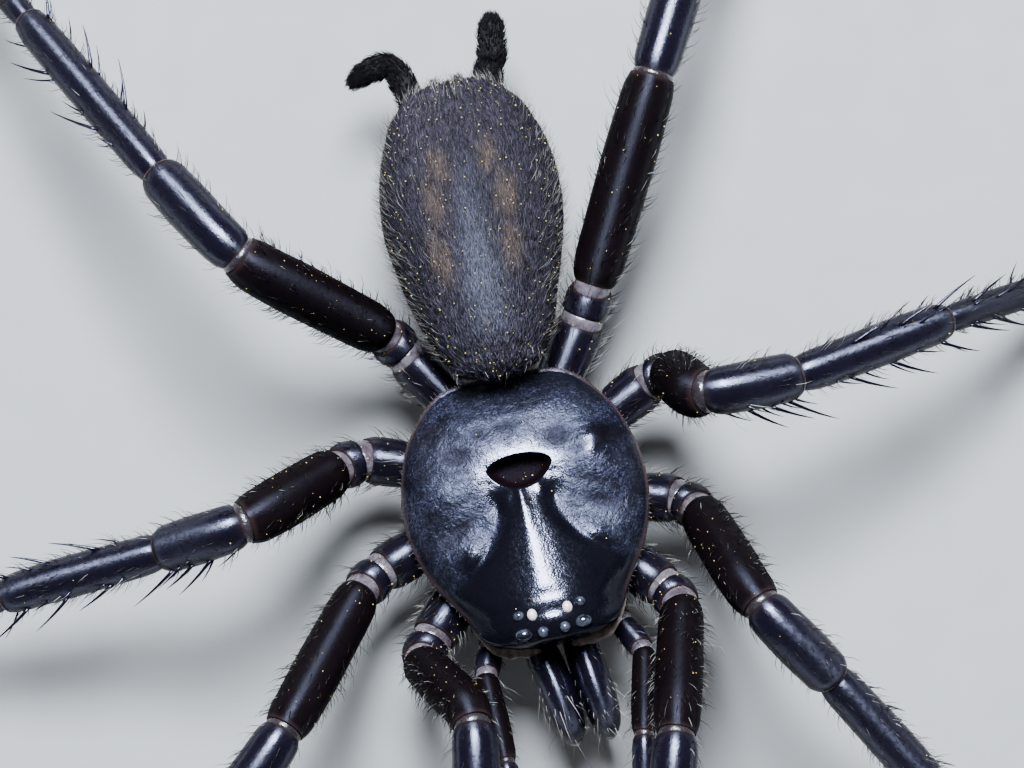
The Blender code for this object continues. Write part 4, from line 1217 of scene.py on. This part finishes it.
def limb_membranes(shape, limb, sides):
    """One continuous inner tube, which shows as pale bands between the plates."""
    start = limb.path.marks[1] * 0.5
    end = limb.spans[-1][0] + 0.5
    distances = np.linspace(start, end, int((end - start) * SKIN_ROWS_PER_MM))
    inner = limb.radius(distances) * SKIN_WIDTH
    for (_, near), (far, _), cut in zip(limb.spans, limb.spans[1:], limb.cuts[1:]):
        half = (far - near + cut) / 2
        share = np.exp(-(((distances - (near + far) / 2) / (1.5 * half + 0.04)) ** 4))
        inner = inner + (JOINT_WIDTH * max(limb.radius(near), limb.radius(far)) - inner) * share
    beyond = limb.spans[2][0] + 0.5
    pale = np.repeat(smoothstep(beyond + 0.5, beyond, distances) * 0.88 + 0.12, sides)
    shape.add(*closed_tube(limb.rings(distances, inner, sides)), pale=np.concatenate([pale, [1.0, 0.3]]))


def make_plates(looks, name, limb, style):
    """The plates of a limb and the skin between them."""
    plates = Shape("dull", "edge", "u", "v")
    limb_plates(plates, limb, style.sides)
    plates.build(name + "_plates", looks["limb"], [f"{name}_{part}" for part in style.parts], "shell")
    skin = Shape("pale")
    limb_membranes(skin, limb, style.skin_sides)
    skin.build(name + "_joints", looks["membrane"], (), "membrane")


def make_limb_hairs(looks, name, limb, style, row):
    chance = np.random.default_rng(style.seed + row)
    count = int(style.hairs_per_mm * limb.distances[-1])
    for tone in ("pale", "dark"):
        hairs = Hair()
        for kind, share, lengths, radius, dorsal_share in style.hairs:
            if kind == tone:
                number = int(count * share) if share else LONG_BRISTLES
                limb_hairs(hairs, limb, chance, number, lengths, radius, dorsal_share, style.weights, row)
        hairs.finish(f"{name}_hair_{tone}", looks["hair_" + tone])


def make_legs(looks):
    for row, (name, leg) in enumerate(LEGS.items()):
        limb = leg_limb(leg)
        make_plates(looks, name, limb, LEG_STYLE)
        spines = Shape("dull", "edge")
        leg_spines(spines, leg, limb, name)
        toe_claws(spines, limb)
        spines.build(name + "_spines", looks["plate"], (), "shell")
        make_limb_hairs(looks, name, limb, LEG_STYLE, row)


def make_palps(looks):
    for row, (name, palp) in enumerate(PALPS.items()):
        limb = palp_limb(palp)
        make_plates(looks, name, limb, PALP_STYLE)
        make_limb_hairs(looks, name, limb, PALP_STYLE, row)


# Shell


def margin_curve(steps):
    left = [(-x, y) for x, y in MARGIN[1:-1]]
    closed = [*MARGIN, *reversed(left)]
    dense = smooth_curve([*closed, closed[0]], 24)
    along = distances_along(dense)
    return read_rows(np.linspace(0, along[-1], steps, endpoint=False), along, dense)


def pit_edge(points):
    """The points of the pit's edge that face these points of the margin."""
    turn = np.arctan2(points[:, 1] - PIT[1], points[:, 0] - PIT[0])
    across, along = np.cos(turn), np.sin(turn)
    reach = np.where(along > 0, PIT_REAR * along, -PIT_FRONT * np.abs(along) ** 1.5)
    return np.stack([PIT[0] + PIT_HALF_WIDTH * across, PIT[1] + reach], axis=1)


def smooth_max(a, b):
    """The higher of two heights, with a rounded valley where they meet."""
    return 0.5 * (a + b + np.sqrt((a - b) ** 2 + BLEND_WIDTH**2))


def past_head(x, y):
    """How far these points lie outside the smooth head region."""
    return np.abs(x) - soft(y, *zip(*HEAD_EDGE))


def relief(x, y, most=1.0):
    """Rise of the swellings and hollows at these points, or of those that rise by less than the most."""
    rise = np.zeros(len(x))
    for (mx, my), length, width, turn, height in RELIEF:
        if height < most:
            angle = math.radians(turn)
            ahead = (x - mx) * math.cos(angle) + (y - my) * math.sin(angle)
            aside = (y - my) * math.cos(angle) - (x - mx) * math.sin(angle)
            rise += height * np.exp(-((ahead / length) ** 2) - (aside / width) ** 2)
    return rise


def ridge(x, y):
    """Rise of the ridge along the middle of the head, from the pit to the eyes."""
    (rear, rear_x), (front, front_x) = RIDGE
    share = np.clip((rear - y) / (rear - front), 0, 1)
    off = x - (rear_x + (front_x - rear_x) * share)
    width = RIDGE_HALF_WIDTHS[0] + (RIDGE_HALF_WIDTHS[1] - RIDGE_HALF_WIDTHS[0]) * share
    reach = smoothstep(rear + 0.15, rear - 0.3, y) * smoothstep(front - 0.3, front + 0.4, y)
    return RIDGE_HEIGHT * bell(off, width) * reach


def furrow_share(x, y):
    """How near these points are to a furrow that runs out from the pit, from 0 to 1."""
    away = np.hypot(x - PIT[0], y - PIT[1])
    turn = np.degrees(np.arctan2(y - PIT[1], x - PIT[0])) % 360
    nearest = np.full(len(x), 180.0)
    for furrow in FURROWS:
        nearest = np.minimum(nearest, np.abs((turn - furrow + 180) % 360 - 180))
    return bell(away * np.radians(nearest), FURROW_WIDTH) * smoothstep(1.7, 2.6, away)


def back_height(x, y, share):
    """Height of the back over the rim's top; share is 0 at the pit and 1 at the margin."""
    half = soft(y, *zip(*HEAD_HALF_WIDTHS))
    dome = soft(y, BACK_LINE, HEAD_LINE) * (1 - (np.abs(x) / (1.3 * half)) ** 2.4)
    height = smooth_max(dome, soft(y, BACK_LINE, SIDE_LINE)) - 0.1
    valley = bell(past_head(x, y), GROOVE_HALF_WIDTH) * smoothstep(0.9, 0.0, y) * smoothstep(-3.2, -2.0, y)
    carved = relief(x, y) - FURROW_DEPTH * furrow_share(x, y) - GROOVE_DEPTH * valley
    height += carved * smoothstep(0.96, 0.7, share) + ridge(x, y)
    height = height * (1 - share ** np.interp(y, *zip(*EDGE_POWERS))) ** EDGE_SOFTNESS
    behind = 0.55 + 0.45 * np.sign(y - PIT[1]) * smoothstep(0.0, 0.5, np.abs(y - PIT[1]))
    height += PIT_LIP * behind * bell(share, PIT_LIP_REACH)
    height += MARGIN_LIP * (bell(share - 0.985, 0.012) - bell(share - 0.955, 0.014))
    off = ((x - EYE_HILL[0]) / EYE_HILL_SIZE[0]) ** 2 + ((y - EYE_HILL[1]) / EYE_HILL_SIZE[1]) ** 2
    return smooth_max(height, EYE_HILL_LIFT + EYE_HILL_SIZE[2] * (1 - off)) - 0.07


def swelling_tops(x, y):
    """One on the tops of the high swellings, which are smoother than what lies round them."""
    return smoothstep(0.1, 0.26, relief(x, y))


def lobe_share(x, y, share):
    """How far the back is grainy lobe, not smooth head or the pit's lip."""
    lobe = np.maximum(smoothstep(-0.4, 0.45, past_head(x, y)), smoothstep(0.9, 1.5, y))
    return lobe * smoothstep(-0.02, 0.22, share) * (1 - 0.8 * swelling_tops(x, y))


def tone_share(x, y, share):
    """How grey and dull the back is: not on the head, at the pit's lip and on the tops of the swellings."""
    return lobe_share(x, y, share) * (1 - 0.9 * swelling_tops(x, y)) * smoothstep(0.06, 0.24, share)


def hollow_shade_share(x, y):
    """How much shade is painted into the hollows and furrows of the lobes here."""
    hollows = np.clip(-relief(x, y, most=0.0) / 0.06, 0, 1)
    return np.maximum(0.62 * hollows, 0.3 * furrow_share(x, y))


def ring_row(points, height, *values):
    """One ring of the shell as rows of x, y, z and the four values that its material reads."""
    columns = (np.broadcast_to(number, len(points)) for number in (height, *values))
    return np.column_stack([points, *columns])


def make_carapace(looks):
    """The shell, from under its rim over the back and down into the pit. Returns its points."""
    outline = margin_curve(CARAPACE_COLUMNS)
    edge = pit_edge(outline)
    rows = []
    for scale, rise in RIM_RINGS:
        points = outline * scale + np.array([0, 0.01])
        border = smoothstep(-4.8, -3.4, points[:, 1])
        rows.append(ring_row(points, RIM_BOTTOM + rise, 0.2, 0.2, 0, border))
    for share in 1 - np.linspace(0, 1, CARAPACE_ROWS) ** 1.15:
        points = edge + share * (outline - edge)
        x, y = points.T
        height = RIM_TOP + back_height(x, y, share)
        border = smoothstep(0.955, 0.985, share) * smoothstep(-4.8, -3.4, y)
        lobe, tone = lobe_share(x, y, share), tone_share(x, y, share)
        rows.append(ring_row(points, height, lobe, tone, hollow_shade_share(x, y), border))
    grid = soften(np.array(rows))
    rim_heights = grid[-1, :, 2]
    floor_height = rim_heights.min() - PIT_DEPTH
    walls = []
    for scale, depth in PIT_WALL:
        points = np.array(PIT) + scale * (edge - np.array(PIT))
        height = rim_heights + depth * (floor_height - rim_heights)
        # The pit's wall takes painted shade, darker further down.
        walls.append(ring_row(points, height, 0, 0, smoothstep(0.0, 0.35, depth), 0))
    grid = np.concatenate([grid, walls])
    points, quads, triangles = closed_tube(grid[..., :3])
    ends = [(0, 0, 0, 1), (0, 0, 1, 0)]
    lobe, tone, pit, margin = np.concatenate([grid[..., 3:].reshape(-1, 4), ends]).T
    shape = Shape("lobe", "tone", "pit", "margin")
    shape.add(points, quads, triangles, lobe=lobe, tone=tone, pit=pit, margin=margin)
    shape.build("carapace_shell", looks["carapace"], ["carapace"], "shell")
    return points


def soften(grid):
    """Evens out the heights over the back, leaving the rim and the rings next to it as they are."""
    for _ in range(SOFTENINGS):
        heights = grid[..., 2].copy()
        round_it = (np.roll(heights, 1, axis=1) + np.roll(heights, -1, axis=1)) / 2
        along = heights.copy()
        along[1:-1] = (heights[:-2] + heights[2:]) / 2
        mixed = 0.5 * heights + 0.25 * round_it + 0.25 * along
        grid[ROWS_LEFT_SHARP:-1, :, 2] = mixed[ROWS_LEFT_SHARP:-1]
    return grid


def make_eyes(looks, shell_points):
    above = shell_points[shell_points[:, 2] > RIM_TOP]
    for name, (place, (half_width, half_length), look) in EYES.items():
        nearest = np.argmin(np.hypot(above[:, 0] - place[0], above[:, 1] - place[1]))
        middle = (*place, above[nearest, 2] + EYE_LIFT)
        shape = Shape()
        shape.add(*globe(middle, (half_width, half_length, half_length)))
        shape.build(name + "_lens", looks["eye_" + look], [name], "eye")


def globe(middle, radii, rows=18, sides=28):
    rises = np.linspace(-np.pi / 2, np.pi / 2, rows + 2)[1:-1, None]
    turns = circle(sides)
    across = np.cos(rises)
    directions = np.broadcast_arrays(across * np.cos(turns), across * np.sin(turns), np.sin(rises))
    return closed_tube(np.stack(directions, axis=-1) * np.array(radii) + np.array(middle))


def make_front_rim(looks):
    """The pale strip under the front margin, one on each side of the face."""
    shape = Shape()
    for way in (-1, 1):
        reach = np.linspace(0, 1, 34)
        x = way * (STRIP_START + STRIP_LENGTH * reach)
        y = soft(np.abs(x), *zip(*MARGIN[:4])) - 0.08
        width = STRIP_ENDS + STRIP_SWELL * np.sin(np.pi * reach) ** 0.6 * (1 + 0.15 * np.sin(9 * x))
        middles = np.stack([x, y, np.full(len(x), STRIP_HEIGHT)], axis=1)
        shape.add(*closed_tube(flat_rings(middles, width, np.array([0, -1.0, 0]), 0.55 * UP, 12)))
    shape.build("front_rim", looks["rim"], (), "membrane")


def make_margin_hair(looks):
    """The short hairs round the margin and the bristles between the eyes and the jaws."""
    chance = np.random.default_rng(90)
    hairs = Hair()
    outline = margin_curve(MARGIN_HAIRS)
    outward = unit(outline - np.array([0, MARGIN_MIDDLE_Y]))
    roots = np.column_stack([outline * 0.985, np.full(len(outline), RIM_TOP + 0.05)])
    lies = np.column_stack([outward, np.full(len(outline), 0.25)])
    edge_hairs(hairs, chance, roots, lies, *MARGIN_TUFTS)
    across, down = chance.uniform(0, 1, (FACE_BRISTLES, 2)).T
    roots = np.array(FACE_PATCH) + np.column_stack([across - 0.5, down, down]) * FACE_PATCH_SIZE
    lies = np.tile([0.0, -0.8, 0.9], (FACE_BRISTLES, 1))
    edge_hairs(hairs, chance, roots, lies, *FACE_TUFTS)
    hairs.finish("margin_hair", looks["hair_pale"])


# Underside and mouthparts


def make_underside(looks):
    """The sternum with the plates that carry the legs, up to the carapace."""
    stations = smooth_curve(STERNUM, 6)
    outline = np.concatenate([stations[:, ::-1], (stations * [1, -1])[::-1, ::-1]])
    centre = np.array(STERNUM_MIDDLE)
    rings = []
    for rise, share in STERNUM_RINGS:
        points = centre + (outline - centre) * share
        rings.append(np.column_stack([points, np.full(len(points), STERNUM_BOTTOM + rise)]))
    shape = Shape("dull", "edge")
    shape.add(*closed_tube(rings), dull=0.9)
    shape.build("sternum_skin", looks["plate"], ["sternum"], "shell")


def mouth_line(points, way):
    start, end = CHELICERA[0][0], CHELICERA[-1][0]
    line = []
    for y, z, width, depth in points:
        share = (y - start) / (end - start)
        x = way * CHELICERA_SPREAD * (1 - 0.12 * share) + CHELICERA_LEAN * share
        line.append((x, y, z, width, depth))
    return line


def make_mouthparts(looks):
    for side, way, seed in (("l", 1, 71), ("r", -1, 72)):
        name = "chelicera_" + side
        shape = Shape("dull", "edge", "u", "v")
        rings = bent_rings(mouth_line(CHELICERA, way), 8, 36)
        shape.add(*closed_tube(rings), dull=0.0, **tube_map(*rings.shape[:2]))
        shape.build(name + "_plate", looks["limb"], [name], "shell")
        fang = Shape()
        fang.add(*closed_tube(bent_rings(mouth_line(FANG, way), 10, 24)))
        fang.build("fang_" + side + "_blade", looks["fang"], ["fang_" + side], "fang")
        bristles = Hair()
        chance = np.random.default_rng(seed)
        tube_hairs(bristles, chance, rings, *JAW_TUFTS)
        tube_hairs(bristles, chance, rings[len(rings) // 2 :], *JAW_BRISTLES, band=1)
        bristles.finish(name + "_hair", looks["hair_pale"])


# Abdomen and spinnerets


def abdomen_rings(inset, rows=110, sides=96):
    start, end = ABDOMEN[0][0] + inset, ABDOMEN[-1][0] - inset
    y = start + (end - start) * (0.5 - 0.5 * np.cos(np.linspace(0, np.pi, rows)))
    columns = np.array(ABDOMEN).T
    middle, half, bottom, top = (soft(y, columns[0], column)[:, None] for column in columns[1:])
    rings = np.empty((rows, sides, 3))
    rings[..., 0] = middle + (half - inset) * np.cos(circle(sides))
    rings[..., 1] = y[:, None]
    rings[..., 2] = (bottom + top) / 2 + ((top - bottom) / 2 - inset) * np.sin(circle(sides))
    return rings


def marks_at(points):
    """How brown the coat is at these points of the abdomen's back, and how strongly sheen is painted
    blue-grey on it.
    """
    x, y, z = points.T
    above = smoothstep(6.5, 8.5, z)
    brown = np.zeros(len(x))
    ragged = 0.3 + 0.3 * np.sin(7.1 * x + 2.3 * y) * np.sin(5.3 * y - 3.1 * x)
    for (mx, my), length, width in BROWN_MARKS:
        lean = 0.12 * (y - my) * (1 if mx < 0 else -1)
        off = ((x - mx + lean) / width) ** 2 + ((y - my) / length) ** 2
        brown = np.maximum(brown, np.exp(-((0.75 * off + ragged) ** 2)))
    # The blue-grey streak down the middle is painted sheen, not a marking of the coat.
    columns = np.array(PAINTED_SHEEN_STREAK).T
    middle, width, strength = (np.interp(y, columns[0], column) for column in columns[1:])
    return brown * above, strength * bell(x - middle, width) * above * 0.85


def scatter(chance, rings, count):
    """Spots spread evenly by area over a tube of rings."""
    along = rings[1:] - rings[:-1]
    around = np.roll(rings, -1, axis=1)[:-1] - rings[:-1]
    areas = np.linalg.norm(np.cross(along, around), axis=-1)
    picked = chance.choice(areas.size, size=count, p=(areas / areas.sum()).ravel())
    return tube_spots(chance, rings, *np.unravel_index(picked, areas.shape))


def abdomen_hairs(shape, chance, rings, count, length_range, radius, lift_range, at_sides=False):
    """Hairs over the abdomen, lying towards the tail: evenly by area, or mostly at the sides and tail."""
    roots, normals, lies, length_share, turn_share = scatter(chance, rings, count)
    places = np.stack([turn_share, length_share], axis=1)
    if at_sides:
        away = np.maximum(np.abs(normals[:, 0]), normals[:, 1])
        keep = chance.uniform(0, 1, count) < 0.06 + 0.9 * smoothstep(0.55, 0.95, away)
        roots, normals, lies, places = roots[keep], normals[keep], lies[keep], places[keep]
    # 'grey' carries the sheen painted along the abdomen's middle.
    brown, grey = marks_at(roots)
    number = len(roots)
    forward = (roots[:, 1] < ABDOMEN[0][0] + 1.0) & (chance.uniform(0, 1, number) < 0.6)
    lies = np.where(forward[:, None], -lies, lies)
    side = np.abs(normals[:, 0]) ** 2 * 0.5 + np.clip(normals[:, 1], 0, 1) * 0.6
    lifts = np.radians(chance.uniform(*lift_range, number) * (1 + side))
    lengths = chance.uniform(*length_range, number)
    radii = radius * chance.uniform(0.7, 1.3, number)
    # The coat darkens on the flanks, by which way the surface faces: partly its own darker colour, partly
    # painted shade.
    above = 1 - 0.75 * smoothstep(0.35, 0.95, np.abs(normals[:, 0]))
    shade = chance.uniform(0, 1, number) ** 2.2 * above
    values = {"shade": shade, "brown": brown, "grey": grey}
    add_tufts(shape, chance, roots, normals, lies, lengths, radii, lifts, places, **values)


def make_abdomen(looks):
    rings = rounded_ends(abdomen_rings(COAT_DEPTH), ABDOMEN_DOME)
    shape = Shape("brown", "grey")
    points, quads, triangles = closed_tube(rings)
    # 'grey' carries the sheen painted along the abdomen's middle.
    brown, grey = marks_at(points)
    shape.add(points, quads, triangles, brown=brown, grey=grey)
    pedicel = [(*point, PEDICEL_RADIUS, PEDICEL_RADIUS) for point in PEDICEL_POINTS]
    shape.add(*closed_tube(bent_rings(pedicel, 8, 24)))
    shape.build("abdomen_skin", looks["velvet"], ["abdomen", "pedicel"], "velvet")
    chance = np.random.default_rng(11)
    pieces = math.ceil(ABDOMEN_HAIRS / TUFTS_PER_PIECE)
    for index in range(pieces):
        coat = Hair("brown", "grey")
        abdomen_hairs(coat, chance, rings, ABDOMEN_HAIRS // pieces, *COAT_TUFTS)
        coat.finish(f"abdomen_coat_{index + 1}", looks["coat"])
    fringe = Hair("brown", "grey")
    abdomen_hairs(fringe, chance, rings, ABDOMEN_FRINGE, *FRINGE_TUFTS, at_sides=True)
    fringe.finish("abdomen_fringe", looks["hair_pale"])


def make_spinnerets(looks):
    for index, (name, points) in enumerate(SPINNERETS.items()):
        rings = bent_rings([(*point, point[3]) for point in points], 6, 28)
        centres = rings.mean(axis=1, keepdims=True)
        rings = rounded_ends(centres + (rings - centres) * SPINNERET_SKIN_SHARE, SPINNERET_DOME, 2)
        shape = Shape("brown", "grey")
        shape.add(*closed_tube(rings))
        shape.build(name + "_skin", looks["velvet_black"], [name], "velvet")
        coat = Hair()
        chance = np.random.default_rng(80 + index)
        tube_hairs(coat, chance, rings, SPINNERET_HAIRS[name[:-2]], *SPINNERET_TUFTS)
        coat.finish(name + "_coat", looks["coat_black"])


# Specks


def make_specks(looks, shell_points):
    """Tiny golden grains on the coxae, femora and abdomen, with a few on the back and in the pit."""
    chance = np.random.default_rng(5)
    shape = Shape("shade")
    for leg in LEGS.values():
        limb = leg_limb(leg)
        distances = []
        for (start, end), count in zip(limb.spans, LEG_GRAINS):
            distances.append(chance.uniform(max(start, limb.path.marks[1] * 0.7), end, count))
        distances = np.concatenate(distances)
        turns = chance.uniform(0.05 * np.pi, 0.95 * np.pi, len(distances))
        roots, normals, _ = limb.surface(distances, turns)
        add_grains(shape, chance, roots, normals)
    roots, normals, *_ = scatter(chance, abdomen_rings(0.02), ABDOMEN_GRAINS)
    upper = normals[:, 2] > 0
    add_grains(shape, chance, roots[upper], normals[upper])
    back = shell_points[shell_points[:, 2] > RIM_TOP + 0.5]
    away = np.hypot((back[:, 0] - PIT[0]) / PIT_HALF_WIDTH, (back[:, 1] - PIT[1]) / PIT_FRONT)
    pit_front = back[(away > 0.2) & (away < 0.75) & (back[:, 1] < PIT[1])]
    for spots, count in ((back, BACK_GRAINS), (pit_front, PIT_GRAINS)):
        roots = spots[chance.choice(len(spots), count)] + chance.normal(0, 0.07, (count, 3)) * (1, 1, 0)
        add_grains(shape, chance, roots, np.tile(UP, (count, 1)))
    shape.build("specks", looks["speck"], (), "speck")


def add_grains(shape, chance, roots, normals):
    """An uneven eight-sided grain at each root."""
    corners = np.array([(1, 0, 0), (0, 1, 0), (-1, 0, 0), (0, -1, 0), (0, 0, 1), (0, 0, -1)], float)
    faces = [(0, 1, 4), (1, 2, 4), (2, 3, 4), (3, 0, 4), (1, 0, 5), (2, 1, 5), (3, 2, 5), (0, 3, 5)]
    count = len(roots)
    radii = SMALLEST_GRAIN + GRAIN_SPREAD * chance.uniform(0, 1, count) ** 1.6
    squash = chance.uniform(0.7, 1.2, (count, 6, 1))
    middles = roots + normals * radii[:, None] * 0.5
    points = middles[:, None] + corners * squash * radii[:, None, None]
    triangles = (np.arange(count)[:, None, None] * 6 + np.array(faces)).reshape(-1, 3)
    shape.add(points, triangles=triangles, shade=np.repeat(chance.uniform(0, 1, count), 6))


# Floor, light and camera


def make_floor(looks):
    half = FLOOR_HALF_WIDTH * MM
    mesh = bpy.data.meshes.new("floor")
    corners = [(-half, -half, 0), (half, -half, 0), (half, half, 0), (-half, half, 0)]
    mesh.from_pydata(corners, [], [(0, 1, 2, 3)])
    mesh.materials.append(looks["floor"])
    floor = bpy.data.objects.new("floor", mesh)
    bpy.context.scene.collection.objects.link(floor)


def make_lights():
    """Round lights and a faint sky."""
    for name, (place, aim, size, power, colour, glossy) in LIGHTS.items():
        light = bpy.data.lights.new(name, "AREA")
        light.shape = "DISK"
        light.size = size * MM
        light.energy = power
        light.color = colour
        obj = bpy.data.objects.new(name, light)
        obj.visible_glossy = glossy
        place = (Vector(place) + Vector(SHIFT)) * MM
        aim = (Vector(aim) + Vector(SHIFT)) * MM
        turn = (aim - place).to_track_quat("-Z", "Y").to_matrix().to_4x4()
        obj.matrix_world = Matrix.Translation(place) @ turn
        bpy.context.scene.collection.objects.link(obj)
    world = bpy.data.worlds.new("studio")
    world.use_nodes = True
    sky = world.node_tree.nodes["Background"]
    sky.inputs["Color"].default_value = WORLD_COLOUR
    sky.inputs["Strength"].default_value = WORLD_STRENGTH
    bpy.context.scene.world = world


def make_camera():
    tilt, roll = math.radians(CAMERA_TILT), math.radians(CAMERA_ROLL)
    back = Vector((0, -math.sin(tilt), math.cos(tilt)))
    right = Vector((1, 0, 0))
    up = back.cross(right)
    right, up = math.cos(roll) * right - math.sin(roll) * up, math.sin(roll) * right + math.cos(roll) * up
    per_px = CAMERA_DISTANCE / CAMERA_FOCAL_PX
    place = Vector(CAMERA_TARGET) + Vector(SHIFT) + back * CAMERA_DISTANCE
    place += up * CAMERA_OFFSET_PX[1] * per_px - right * CAMERA_OFFSET_PX[0] * per_px
    data = bpy.data.cameras.new("camera")
    data.sensor_width = SENSOR_MM
    data.lens = CAMERA_FOCAL_PX * SENSOR_MM / VIEW_WIDTH_PX
    data.clip_start = CAMERA_NEAR * MM
    camera = bpy.data.objects.new("camera", data)
    turn = Matrix((right, up, back)).transposed().to_4x4()
    camera.matrix_world = Matrix.Translation(place * MM) @ turn
    bpy.context.scene.collection.objects.link(camera)
    bpy.context.scene.camera = camera


def main():
    looks = make_looks()
    shell_points = make_carapace(looks)
    make_eyes(looks, shell_points)
    make_front_rim(looks)
    make_margin_hair(looks)
    make_underside(looks)
    make_mouthparts(looks)
    make_abdomen(looks)
    make_spinnerets(looks)
    make_legs(looks)
    make_palps(looks)
    make_specks(looks, shell_points)
    make_floor(looks)
    make_lights()
    make_camera()


main()
